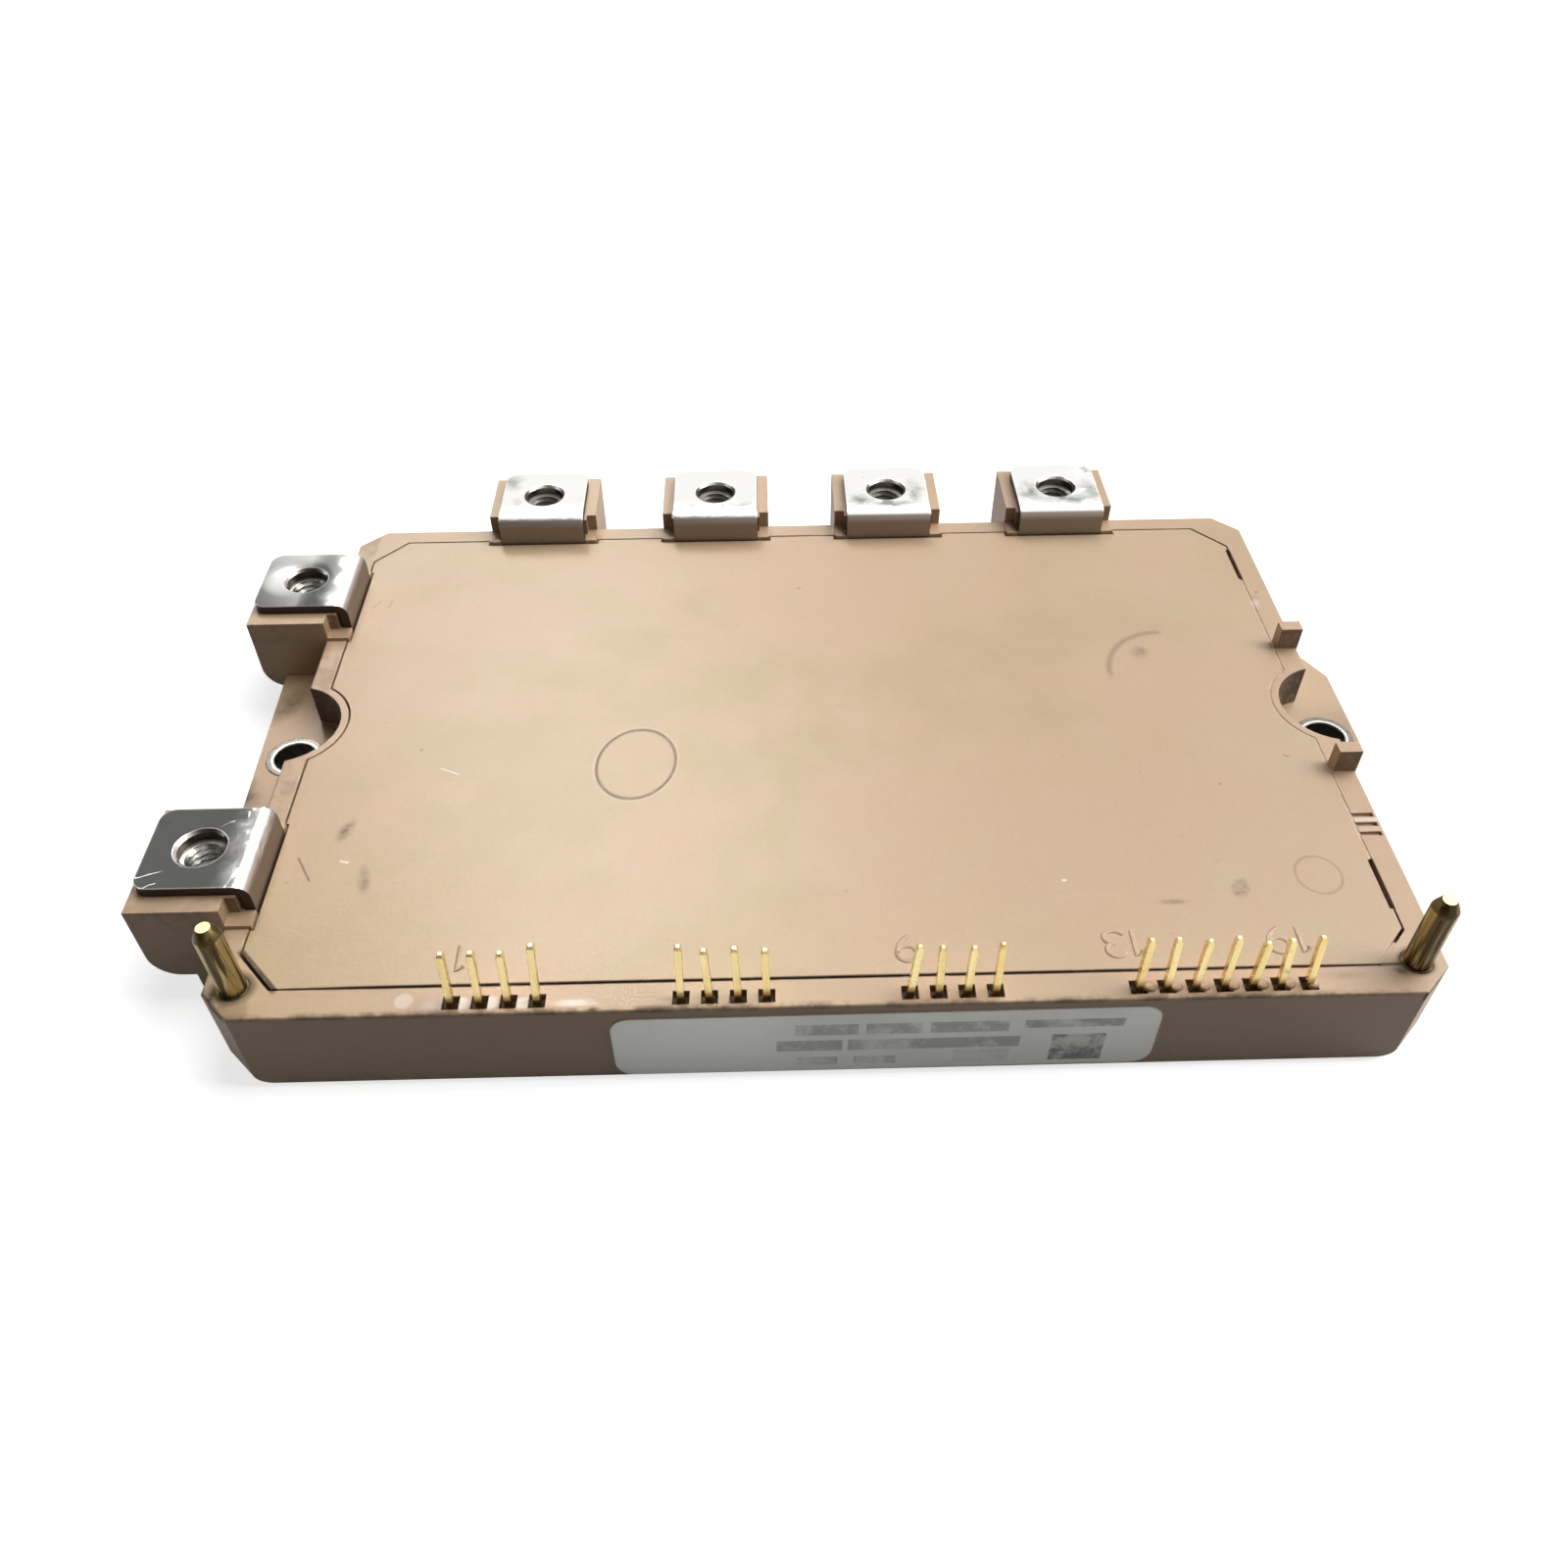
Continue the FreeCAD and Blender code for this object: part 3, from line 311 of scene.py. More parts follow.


# The moulded plastic of case and lid: cloudy tan with fine filler grain and edges worn pale.
# One function gives the share of dark dirt and painted shade, another that of pale rubbed marks
# with painted highlights, and pink that of a redder tone.
def plastic(name, grime_and_shade, scuffs_and_highlights, pink=0.0):
    s = Shade(name)
    cloud = s.noise(26.0, 4.0, 0.6)
    grain = s.noise(2400.0, 2.0, 0.6)
    speck = s.noise(800.0, 5.0, 0.7)
    blotch = s.noise(110.0, 5.0, 0.7)
    colour = s.mix(s.span(cloud, 0.38, 0.62), TAN, TAN_LIGHT)
    colour = s.mix(s.span(blotch, 0.4, 0.62, 0.0, 0.3), colour, TAN_BLOTCH)
    warm = s.span(s.noise(44.0, 4.0, 0.65), 0.44, 0.6, 0.0, 0.55)
    colour = s.mix(warm, colour, TAN_WARM)
    colour = s.mix(pink, colour, TAN_PINK)
    colour = s.mix(s.span(grain, 0.3, 0.7, 0.0, 0.12), colour, TAN_DARK)
    colour = s.mix(s.span(speck, 0.66, 0.76, 0.0, 0.3), colour, FILLER)
    worn = s.times(s.edge(0.25), s.span(speck, 0.45, 0.6, 0.0, 0.5))
    colour = s.mix(worn, colour, WORN_EDGE)
    # Pale rubbed marks, with painted highlights among them.
    colour = s.mix(scuffs_and_highlights(s), colour, RUBBED_AND_HIGHLIGHT)
    # Dark dirt, with painted shade among it.
    dirt_and_shade = grime_and_shade(s, speck)
    colour = s.mix(dirt_and_shade, colour, GRIME_AND_SHADE)
    rough = s.span(dirt_and_shade, 0.0, 1.0, 0.44, 0.8)
    height = s.plus(s.times(grain, 0.5), s.times(speck, 0.5))
    normal = s.bump(height, 0.02, s.rounded(0.12))
    return s.finish(colour, rough, normal, Specular_IOR_Level=0.5)


# Rows of the marks below are as in Shade.spots and Shade.lines.
LID_STAINS = (
    (-47.2, -16.4, 1.0, 2.1, -15.0, 0.0, 0.75),
    (-44.1, -23.2, 0.9, 2.6, 12.0, 0.0, 0.6),
    (39.7, -26.7, 1.1, 1.7, -20.0, 0.4, 0.7),
    (32.8, -28.2, 2.6, 0.5, 0.0, 0.0, 0.55),
    (-41.7, -4.7, 0.35, 0.35, 0.0, 0.0, 0.5),
    (-0.8, 23.2, 0.4, 0.35, 0.0, 0.0, 0.6),
    (49.4, -8.4, 0.6, 0.22, -20.0, 0.0, 0.9),
    (41.4, -12.4, 0.3, 0.3, 0.0, 0.0, 0.5),
    (-51.5, -23.3, 0.35, 0.35, 0.0, 0.0, 0.5),
    (37.7, 9.5, 1.5, 1.5, 0.0, 0.3, 0.5),
)
# Three short strokes, then dirt in the seam at the left corner, the front and the left side.
LID_STROKES = (
    (-51.2, -19.9, -49.2, -23.4, 0.3, 0.6),
    (-52.0, 20.6, -50.8, 22.4, 0.35, 0.22),
    (-49.9, 20.6, -49.7, 22.4, 0.35, 0.22),
    (-53.9, -31.3, -49.1, -36.65, 0.75, 0.95),
    (-50.0, -36.18, 52.0, -36.18, 0.6, 0.9),
    (-53.45, -34.0, -53.45, 34.0, 0.3, 0.5),
)
LID_CHIP = ((23.1, -25.2, 0.4, 0.3, 0.0, 0.0, 0.9),)
LID_SCRATCHES = (
    (-39.3, -7.6, -37.0, -8.7, 0.3, 0.35),
    (-47.0, -20.6, -46.0, -20.9, 0.4, 0.6),
)


# Stains and strokes on the lid, with a drawn circle at the left, the mark of a mould pin at the
# right and a quarter arc behind it.
def lid_grime(s, speck):
    circle_mark = s.times(s.ring(-18.8, -7.5, 4.1, 5.3, 0.075, -8.0), 0.55)
    mould_mark = s.times(s.ring(47.6, -25.2, 2.2, 2.4, 0.1), 0.34)
    x, y, _ = s.axes(s.place)
    quarter = s.times(s.fade(y, 4.4, 6.4), s.fade(x, 41.4, 40.4))
    arc = s.times(s.ring(40.6, 5.6, 6.9, 7.5, 0.085), 0.42, quarter)
    broken = s.span(speck, 0.3, 0.5, 0.75, 1.0)
    patchy = s.span(s.noise(520.0, 4.0, 0.7), 0.42, 0.6, 0.35, 1.0)
    blurs = s.times(s.most(*s.spots(LID_STAINS)), patchy)
    return s.times(s.most(blurs, circle_mark, mould_mark, arc, *s.lines(LID_STROKES)), broken)


# Chip, scratches and wisps on the lid, with a painted highlight beside the drawn circle.
def lid_scuffs_and_highlight(s):
    circle_shine = s.times(s.ring(-18.8, -7.5, 4.35, 5.55, 0.06, -8.0), 0.14)
    wisps = s.span(s.noise(60.0, 5.0, 0.75, stretch=(1.0, 3.5, 1.0)), 0.64, 0.84, 0.0, 0.14)
    return s.most(*s.spots(LID_CHIP), *s.lines(LID_SCRATCHES), circle_shine, wisps)


# Stains on the rim; the rings round the guide pins' feet are partly dirt and partly painted
# shade, and the spots at their front left are partly painted shadows.
RIM_STAINS_AND_SHADOWS = (
    (53.3, 19.3, 1.8, 0.9, 25.0, 0.0, 0.3),
    (54.3, 20.6, 0.35, 0.3, 0.0, 0.0, 0.75),
    (46.1, -37.3, 3.2, 0.7, 0.0, 0.0, 0.25),
    (-20.9, -39.2, 0.9, 0.5, 0.0, 0.0, 0.85),
    (54.6, -33.6, 1.5, 0.5, 60.0, 0.0, 0.5),
    (-53.2, -35.9, 2.5, 2.3, 0.0, 0.6, 0.8),
    (-54.9, -37.2, 1.3, 0.8, 30.0, 0.0, 0.7),
    (53.2, -35.9, 2.0, 2.0, 0.0, 0.65, 0.75),
    (51.4, -37.0, 1.0, 0.6, -30.0, 0.0, 0.7),
)
# Dirt in the seam of the lid at the left corner, the front and the right corner.
RIM_SEAMS = (
    (-54.0, -31.4, -49.2, -36.75, 0.75, 0.95),
    (-50.0, -36.24, 52.0, -36.24, 0.5, 0.9),
    (49.5, -36.2, 52.2, -36.15, 0.5, 0.9),
)
# Dark smudges on the left flange; the one at the back is also a painted shadow of the tower
# behind.
FLANGE_SMUDGES_AND_SHADOW = (
    (-61.5, -6.0, 2.4, 4.5, 20.0, 0.0, 1.0),
    (-60.5, 8.8, 2.2, 4.5, -20.0, 0.0, 1.0),
)
# Pale rubbed marks on the rim; the rows from x -35.2 to -22.6, beside the pins of the first
# group, are painted highlights of glare on the glossy rim.
RIM_RUBS_AND_GLARE = (
    (-37.7, -37.8, 0.95, 0.95, 0.0, 0.7, 0.4),
    (-35.2, -38.3, 1.3, 0.8, 0.0, 0.0, 0.4),
    (-32.6, -38.2, 1.0, 0.9, 0.0, 0.5, 1.0),
    (-30.0, -38.2, 1.0, 0.9, 0.0, 0.5, 1.0),
    (-22.6, -38.4, 2.6, 0.7, 0.0, 0.0, 0.8),
    (-27.2, -38.3, 1.3, 0.8, 0.0, 0.4, 1.0),
    (53.0, 18.6, 1.4, 1.6, 0.0, 0.0, 0.6),
)
# Pale burrs on the ridges between the grooves of the right rim.
GROOVE_RUBS = (
    (52.6, -17.95, 56.0, -17.95, 0.8, 0.5),
    (52.6, -19.25, 56.0, -19.25, 0.8, 0.15),
)


# 1 on the rim's top face and above, 0 below.
def rim_top(s, z):
    return s.fade(z, 10.2, 10.4)


# Dirt and painted shade of the case: stains and seams on the rim, with painted shade at the guide
# pins' feet; a dark band on its front edge; dirt on its left side; smudges and a painted shadow
# on the flange; painted shade in the sockets and slits, the notches at the terminals and the
# pockets, and on the tabs' fronts; and the foot darker.
def case_grime_and_shade(s, speck):
    x, y, z = s.axes(s.place)
    facing = s.axes(s.normal)
    cloud = s.noise(180.0, 5.0, 0.7)
    top = rim_top(s, z)
    front_edge = s.times(s.fade(y, -38.6, -39.3), s.fade(z, 9.9, 10.4),
                         s.span(cloud, 0.4, 0.62, 0.0, 0.75))
    on_top = s.times(s.most(*s.spots(RIM_STAINS_AND_SHADOWS), *s.lines(RIM_SEAMS)), top)
    left_rim = s.times(s.fade(x, -53.5, -53.8), top, s.span(cloud, 0.42, 0.62, 0.04, 0.32))
    on_flange = s.times(s.most(*s.spots(FLANGE_SMUDGES_AND_SHADOW)), s.span(cloud, 0.38, 0.58, 0.5, 0.9))
    # Painted shade low in the pin sockets and the slits beside the lid.
    in_sockets = s.window(y, -39.1, -38.9, -37.3, -37.1)
    in_slits = s.window(x, 52.7, 52.9, 53.5, 53.6)
    recess_shade = s.times(s.window(z, 9.2, 9.4, 10.3, 10.42), s.most(in_sockets, in_slits), 0.85)
    # Painted shade in the notch beside each terminal's leg.
    left_notch = s.window(x, -55.75, -55.65, -53.4, -53.2)
    back_notch = s.window(y, 33.7, 33.9, 36.15, 36.25)
    notch_shade = s.times(s.window(z, 10.92, 11.0, 12.8, 12.96), s.most(left_notch, back_notch), 0.72)
    # Painted shade on the walls of the screw pockets and on the floor of the right pocket.
    near_mounts = s.most(s.spot(-MOUNT_X, 0.5, 7.0, 7.0, 0.0, 0.9),
                         s.spot(MOUNT_X, 0.5, 7.0, 7.0, 0.0, 0.9))
    pocket_wall_shade = s.times(near_mounts, s.span(facing[2], 0.6, 0.3),
                           s.window(z, 5.5, 5.8, 10.2, 10.45), 0.9)
    pocket_floor_shade = s.times(s.spot(60.0, 1.5, 6.0, 6.0), s.fade(z, 5.6, 5.5, 0.0, 0.34))
    # Painted shade on the fronts of the right tabs, which face away from the light.
    tab_front_shade = s.times(s.span(facing[1], -0.6, -0.8), s.fade(x, 50.0, 50.5),
                         s.fade(z, 10.5, 10.7, 0.0, 0.6))
    foot = s.times(s.fade(z, 1.6, 0.6), s.span(cloud, 0.4, 0.6, 0.1, 0.5))
    everywhere = s.most(on_top, on_flange, front_edge, notch_shade, left_rim, recess_shade, foot,
                        pocket_wall_shade, tab_front_shade, pocket_floor_shade)
    return s.times(everywhere, s.span(speck, 0.3, 0.5, 0.5, 1.0))


# Pale rubs and wisps on the case, with painted glare highlights among the rim marks.
def case_scuffs_and_highlights(s):
    rubs_and_glare = s.most(*s.spots(RIM_RUBS_AND_GLARE), *s.lines(GROOVE_RUBS))
    wisps = s.span(s.noise(90.0, 5.0, 0.75, stretch=(3.0, 1.0, 1.0)), 0.62, 0.8, 0.0, 0.2)
    return s.most(s.times(rubs_and_glare, rim_top(s, s.axes(s.place)[2])), wisps)


# Noise shifts the dark patches of tarnish and painted reflection by up to this much, and by half
# of it on average.
DARK_PATCH_SWAY = 2.6
SCRATCH_WIDTH = 0.13


# Bright tin on bent copper strip: the plate is crowned a little, falls towards its bend, is
# handled dull and creased there, and is scratched. Its leg is rougher and painted brownish dark,
# a painted reflection of the lid with painted shade, and its sheared sides are dark, partly bare
# cut metal and partly painted shade. Dents are (x, y, radius, radius, turn, depth), dark patches
# are (x, y, radius, radius, share), partly tarnish and partly painted reflection where the plate
# dents and bends, and scratches are (x, y, x, y), in the part's frame.
def tin(name, x, y, turn, fall, ripple, creases=0.0, dents=(), tarnish_and_reflection=(), scratches=()):
    s = Shade(name)
    where = s.mapped(move=(x * MM, y * MM, 0), turn=(0, 0, radians(turn)), scale=(MM, MM, MM),
                     kind="TEXTURE")
    outward, across, _ = s.axes(where)
    stain = s.noise(420.0, 5.0, 0.7)
    cloudy = s.span(s.noise(300.0, 4.0, 0.65), 0.36, 0.6, 0.45, 1.0)

    falling = s.times(s.span(outward, -5.6, 0.2), fall)
    crown = s.times(across, across, -0.002)
    wave = s.times(s.noise(130.0, 1.0, 0.4), ripple)
    hollows = [s.times(s.spot(*dent[:-1]), dent[-1]) for dent in dents]
    crinkle = s.span(s.noise(720.0, 2.0, 0.6, stretch=(1.0, 0.5, 1.0)), 0.5, 0.7, 0.0, creases)
    crinkle = s.times(crinkle, s.span(outward, -2.0, -3.6))
    rolling = s.times(s.noise(240.0, 4.0, 0.6, stretch=(1.0, 9.0, 1.0)), 0.004)
    shape = s.plus(falling, crown, wave, *hollows, crinkle, rolling)

    colour = s.mix(s.span(stain, 0.6, 0.76, 0.0, 0.3), srgb(249, 248, 244), srgb(184, 179, 170))
    s.warp(420.0, DARK_PATCH_SWAY)
    # Dark grey patches: partly tarnish, partly painted reflection on dents and near the bend.
    for spot_x, spot_y, rx, ry, share in tarnish_and_reflection:
        dim = s.spot(spot_x + DARK_PATCH_SWAY / 2.0, spot_y + DARK_PATCH_SWAY / 2.0, rx, ry)
        colour = s.mix(s.times(dim, share, cloudy), colour, srgb(74, 78, 74))
    facing = s.axes(s.normal)
    if turn == TO_LEFT:
        leg, side = s.span(facing[0], 0.45, 0.75), facing[1]
    else:
        leg, side = s.span(facing[1], -0.55, -0.8), facing[0]
    # Painted reflection of the lid and painted shade on the leg.
    colour = s.mix(s.times(leg, 0.9), colour, srgb(116, 101, 89))
    # Dark sheared sides: partly bare cut metal, partly painted shade.
    sheared = s.span(s.math("ABSOLUTE", side), 0.3, 0.7)
    colour = s.mix(sheared, colour, srgb(66, 58, 50))

    rubbed = [s.times(s.line(*ends, SCRATCH_WIDTH), 0.3) for ends in scratches]
    handled = s.times(s.span(outward, -0.2, -4.6), s.span(stain, 0.38, 0.62, 0.19, 0.3))
    rough = s.most(s.span(stain, 0.45, 0.8, 0.05, 0.1), s.times(sheared, 0.5),
                   s.times(leg, 0.4), handled, *rubbed)
    normal = s.bump(shape, 1.0, s.rounded(0.22))
    return s.finish(colour, rough, normal, Metallic=1.0)


def metal(name, colour, dark, rough):
    s = Shade(name)
    stain = s.noise(700.0, 5.0, 0.7)
    grain = s.noise(2500.0, 3.0, 0.6)
    mixed = s.mix(s.span(stain, 0.42, 0.72), colour, dark)
    return s.finish(mixed, s.span(stain, 0.3, 0.75, rough, rough + 0.2), s.bump(grain, 0.01),
                    Metallic=1.0)


# Steel of the nuts. Those of the back row are greyer and duller with grease.
def nut_metal(name):
    s = Shade(name)
    stain = s.noise(700.0, 5.0, 0.7)
    y = s.axes(s.place)[1]
    greasy = s.times(s.fade(y, 28.0, 30.0), s.span(stain, 0.2, 0.6, 0.6, 0.9))
    colour = s.mix(s.span(stain, 0.42, 0.72), srgb(150, 149, 143), srgb(92, 88, 81))
    colour = s.mix(greasy, colour, srgb(122, 121, 114))
    rough = s.plus(s.span(stain, 0.3, 0.75, 0.24, 0.4), s.times(greasy, 0.42))
    return s.finish(colour, rough, s.bump(stain, 0.01), Metallic=1.0)


# Turned steel ring: grey on its end with one bright circle as a painted highlight, and painted
# shade down its bore.
def collar_steel(name):
    s = Shade(name)
    stain = s.noise(700.0, 5.0, 0.7)
    z = s.axes(s.place)[2]
    colour = s.mix(s.span(stain, 0.42, 0.72), srgb(112, 107, 100), srgb(84, 78, 70))
    # The bright circle on each ring is a painted highlight.
    for side in (-1.0, 1.0):
        ring_highlight = s.ring(side * MOUNT_X, 0.0, 2.5, 2.5, 0.07)
        colour = s.mix(ring_highlight, colour, srgb(196, 195, 190))
    # Painted shade down the bore.
    bore = s.fade(z, 5.55, 5.3, 0.0, 0.93)
    colour = s.mix(bore, colour, srgb(34, 30, 26))
    rough = s.span(stain, 0.3, 0.75, 0.2, 0.4)
    return s.finish(colour, rough, s.bump(stain, 0.01, s.rounded(0.2)), Metallic=1.0)


# Rolled and plated sheet, with lengthwise rolling marks and cloudy stains.
def rolled_nickel(name):
    s = Shade(name)
    streak = s.noise(90.0, 5.0, 0.65, stretch=(1.0, 22.0, 1.0))
    cloud = s.noise(34.0, 4.0, 0.6)
    fine = s.noise(1800.0, 3.0, 0.6)
    colour = s.mix(s.span(cloud, 0.36, 0.68), srgb(206, 203, 194), srgb(176, 171, 158))
    colour = s.mix(s.span(streak, 0.55, 0.72, 0.0, 0.4), colour, srgb(150, 144, 132))
    rough = s.span(streak, 0.3, 0.7, 0.3, 0.44)
    height = s.plus(s.times(streak, 0.7), s.times(fine, 0.3))
    return s.finish(colour, rough, s.bump(height, 0.012, s.rounded(0.2)), Metallic=1.0)


# Gilt pins: pale gold drawn lengthwise, with painted shade along the edges and darker towards
# the foot.
def gilt(name):
    s = Shade(name)
    streak = s.noise(900.0, 4.0, 0.6, stretch=(1.0, 1.0, 0.06))
    stain = s.noise(500.0, 5.0, 0.7)
    z = s.axes(s.place)[2]
    colour = s.mix(s.span(streak, 0.35, 0.65), srgb(240, 219, 160), srgb(226, 200, 134))
    colour = s.mix(s.span(stain, 0.58, 0.74, 0.0, 0.6), colour, srgb(170, 128, 60))
    # Darker towards the foot.
    colour = s.mix(s.times(s.fade(z, 11.4, 10.5), 0.6), colour, srgb(120, 86, 44))
    # Painted shade along the edges.
    colour = s.mix(s.times(s.edge(0.08), 0.6), colour, srgb(150, 118, 62))
    rough = s.span(stain, 0.3, 0.75, 0.2, 0.36)
    return s.finish(colour, rough, s.bump(streak, 0.012, s.rounded(0.06)), Metallic=1.0)


# Tarnished brass of the guide pins: streaked, with painted shade on the cone and a painted
# highlight on the flat tip; the foot is dark, partly dirt and partly painted shade.
def brass(name):
    s = Shade(name)
    streak = s.noise(1300.0, 3.0, 0.6, stretch=(1.0, 1.0, 0.06))
    stain = s.noise(420.0, 5.0, 0.7)
    z = s.axes(s.place)[2]
    up = s.axes(s.normal)[2]
    colour = s.mix(s.span(streak, 0.42, 0.56), srgb(176, 158, 108), srgb(74, 60, 38))
    colour = s.mix(s.span(stain, 0.5, 0.7, 0.0, 0.75), colour, srgb(78, 62, 38))
    # Painted shade on the cone's slope.
    cone_shade = s.times(s.fade(z, 17.7, 17.9), s.span(up, 0.95, 0.8), 0.85)
    colour = s.mix(cone_shade, colour, srgb(66, 52, 30))
    # Dark foot: partly dirt, partly painted shade.
    colour = s.mix(s.times(s.fade(z, 11.2, 10.6), 0.85), colour, srgb(58, 46, 30))
    # Painted highlight on the flat tip.
    tip_highlight = s.times(s.fade(z, 18.6, 18.8), s.span(up, 0.8, 0.95))
    colour = s.mix(tip_highlight, colour, srgb(208, 186, 128))
    rough = s.span(stain, 0.3, 0.75, 0.28, 0.5)
    return s.finish(colour, rough, s.bump(streak, 0.012), Metallic=1.0)


# Print on the label as plain fields: x from and to, z from and to, and how dark each is.
PRINT_FIELDS = (
    (-3.1, 2.6, 6.3, 7.9, 0.5),
    (3.3, 8.4, 6.3, 7.9, 0.5),
    (9.1, 16.2, 6.3, 7.9, 0.5),
    (17.6, 26.6, 6.7, 7.9, 0.6),
    (-4.8, 1.2, 3.9, 5.5, 0.52),
    (1.7, 17.4, 3.9, 5.5, 0.52),
    (-2.9, 0.8, 1.7, 2.9, 0.45),
    (2.3, 6.2, 1.7, 2.9, 0.45),
    (20.3, 25.2, 1.6, 5.6, 0.85),
    (11.4, 16.6, 1.5, 3.6, 0.2),
)
PRINT_BLUR = 0.06


# Silvered film with worn print: soft grey bars and a dark square, no lettering.
def label_film(name):
    s = Shade(name)
    x, _, z = s.axes(s.place)
    cloud = s.noise(60.0, 4.0, 0.6)
    fine = s.noise(1500.0, 3.0, 0.6)
    colour = s.mix(s.span(cloud, 0.35, 0.68), srgb(198, 198, 194), srgb(186, 186, 183))
    worn = s.span(s.noise(300.0, 5.0, 0.75), 0.36, 0.58, 0.25, 1.0)

    def between(value, low, high):
        return s.window(value, low - PRINT_BLUR, low + PRINT_BLUR,
                        high - PRINT_BLUR, high + PRINT_BLUR)

    fields = [s.times(between(x, x0, x1), between(z, z0, z1), share)
              for x0, x1, z0, z1, share in PRINT_FIELDS]
    colour = s.mix(s.times(s.most(*fields), worn), colour, srgb(66, 66, 68))
    colour = s.mix(s.times(s.edge(0.3), 0.5), colour, srgb(150, 140, 128))
    rough = s.span(cloud, 0.3, 0.7, 0.34, 0.46)
    return s.finish(colour, rough, s.bump(fine, 0.006), Metallic=0.5)


def dull(name, colour, other, rough):
    s = Shade(name)
    cloud = s.noise(500.0, 4.0, 0.6)
    grain = s.noise(2500.0, 2.0, 0.6)
    mixed = s.mix(s.span(cloud, 0.35, 0.68), colour, other)
    return s.finish(mixed, s.span(cloud, 0.3, 0.7, rough, rough + 0.15), s.bump(grain, 0.02))


finishes = {
    "case_plastic": plastic("case_plastic", case_grime_and_shade, case_scuffs_and_highlights, 0.25),
    "lid_plastic": plastic("lid_plastic", lid_grime, lid_scuffs_and_highlight),
    "base_nickel": rolled_nickel("base_nickel"),
    "collar_steel": collar_steel("collar_steel"),
    "nut_steel": nut_metal("nut_steel"),
    "pin_gold": gilt("pin_gold"),
    "guide_brass": brass("guide_brass"),
    "label_film": label_film("label_film"),
    "substrate_ceramic": dull("substrate_ceramic", srgb(235, 232, 224), srgb(224, 220, 210), 0.5),
    "track_copper": metal("track_copper", srgb(204, 132, 96), srgb(160, 92, 62), 0.35),
    "chip_silicon": metal("chip_silicon", srgb(96, 98, 108), srgb(74, 76, 86), 0.3),
    "wire_aluminium": metal("wire_aluminium", srgb(206, 206, 206), srgb(176, 176, 176), 0.3),
    "board_laminate": dull("board_laminate", srgb(38, 92, 58), srgb(30, 78, 48), 0.45),
    "driver_body": dull("driver_body", srgb(34, 34, 36), srgb(44, 44, 46), 0.6),
    "gel": dull("gel", srgb(206, 210, 206), srgb(196, 200, 196), 0.25),
}

# What each plate's tin shows, as the function tin takes it.
PLATE_MARKS = {
    "main_terminal_left_front": {
        "fall": -0.5, "ripple": 0.016, "creases": -0.045,
        "scratches": ((-64.2, -24.6, -60.2, -23.4), (-64.4, -21.3, -62.8, -18.9),
                      (-56.6, -17.9, -55.2, -17.1), (-63.2, -25.6, -60.6, -25.1)),
    },
    "main_terminal_left_back": {
        "fall": -0.26, "ripple": 0.01, "dents": ((-60.2, 22.2, 4.3, 4.0, 0.0, -0.13),),
    },
    "main_terminal_back_1": {
        "fall": -0.05, "ripple": 0.05,
        "tarnish_and_reflection": ((-37.0, 42.6, 1.8, 2.6, 0.7), (-30.6, 35.0, 3.4, 0.6, 0.9),
                    (-28.4, 34.8, 1.2, 1.0, 0.9), (-36.2, 38.0, 1.4, 1.2, 0.4)),
    },
    "main_terminal_back_2": {
        "fall": -0.05, "ripple": 0.04,
        "tarnish_and_reflection": ((-8.6, 36.4, 3.6, 0.9, 0.75), (-13.4, 36.0, 2.4, 0.6, 0.4)),
    },
    "main_terminal_back_3": {
        "fall": -0.05, "ripple": 0.05,
        "dents": ((7.8, 37.2, 2.0, 1.2, 30.0, -0.08), (14.4, 38.6, 0.8, 2.6, 0.0, -0.1)),
        "tarnish_and_reflection": ((7.4, 37.2, 2.2, 2.2, 0.8), (14.6, 38.8, 1.5, 3.6, 0.8),
                    (10.9, 36.0, 5.0, 1.0, 0.75)),
    },
    "main_terminal_back_4": {
        "fall": -0.05, "ripple": 0.1,
        "dents": ((29.4, 39.0, 1.0, 2.8, 10.0, -0.12), (35.6, 37.8, 2.6, 0.9, 25.0, -0.16),
                  (37.0, 42.4, 1.6, 0.8, -30.0, -0.2)),
        "tarnish_and_reflection": ((29.4, 38.6, 2.0, 3.4, 0.8), (33.4, 36.4, 5.4, 1.6, 0.8),
                    (37.0, 38.6, 2.4, 3.2, 0.7), (37.6, 43.0, 1.4, 1.2, 1.0)),
    },
}


def paint_nodes():
    for thing in nodes.values():
        for holder in thing.material_slots:
            given = holder.material.name.split(".")[0]
            if given in finishes:
                holder.material = finishes[given]
    for name, (x, y, turn) in TERMINALS.items():
        for holder in nodes[name].material_slots:
            holder.material = tin("tin_" + name, x, y, turn, **PLATE_MARKS[name])


def add_piece(name, work, slot, replaces=()):
    """Makes a piece from a mesh in millimetres and hangs it on the body."""
    bmesh.ops.scale(work, vec=(MM, MM, MM), verts=work.verts)
    bmesh.ops.recalc_face_normals(work, faces=work.faces)
    mesh = bpy.data.meshes.new(name)
    work.to_mesh(mesh)
    work.free()
    mesh.materials.append(finishes[slot])
    mesh.shade_smooth()
    mesh.set_sharp_from_angle(angle=radians(32.0))
    piece = bpy.data.objects.new(name, mesh)
    bpy.context.scene.collection.objects.link(piece)
    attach(piece, "root")
    if replaces:
        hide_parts(*replaces)


def add_rings(work, rings, closed_ends=True):
    """Joins rings of points, each with the same count, into a skin."""
    made = [[work.verts.new(point) for point in ring] for ring in rings]
    count = len(made[0])
    for lower, upper in zip(made, made[1:]):
        for i in range(count):
            j = (i + 1) % count
            work.faces.new((lower[i], lower[j], upper[j], upper[i]))
    if closed_ends:
        work.faces.new(list(reversed(made[0])))
        work.faces.new(made[-1])
    return made


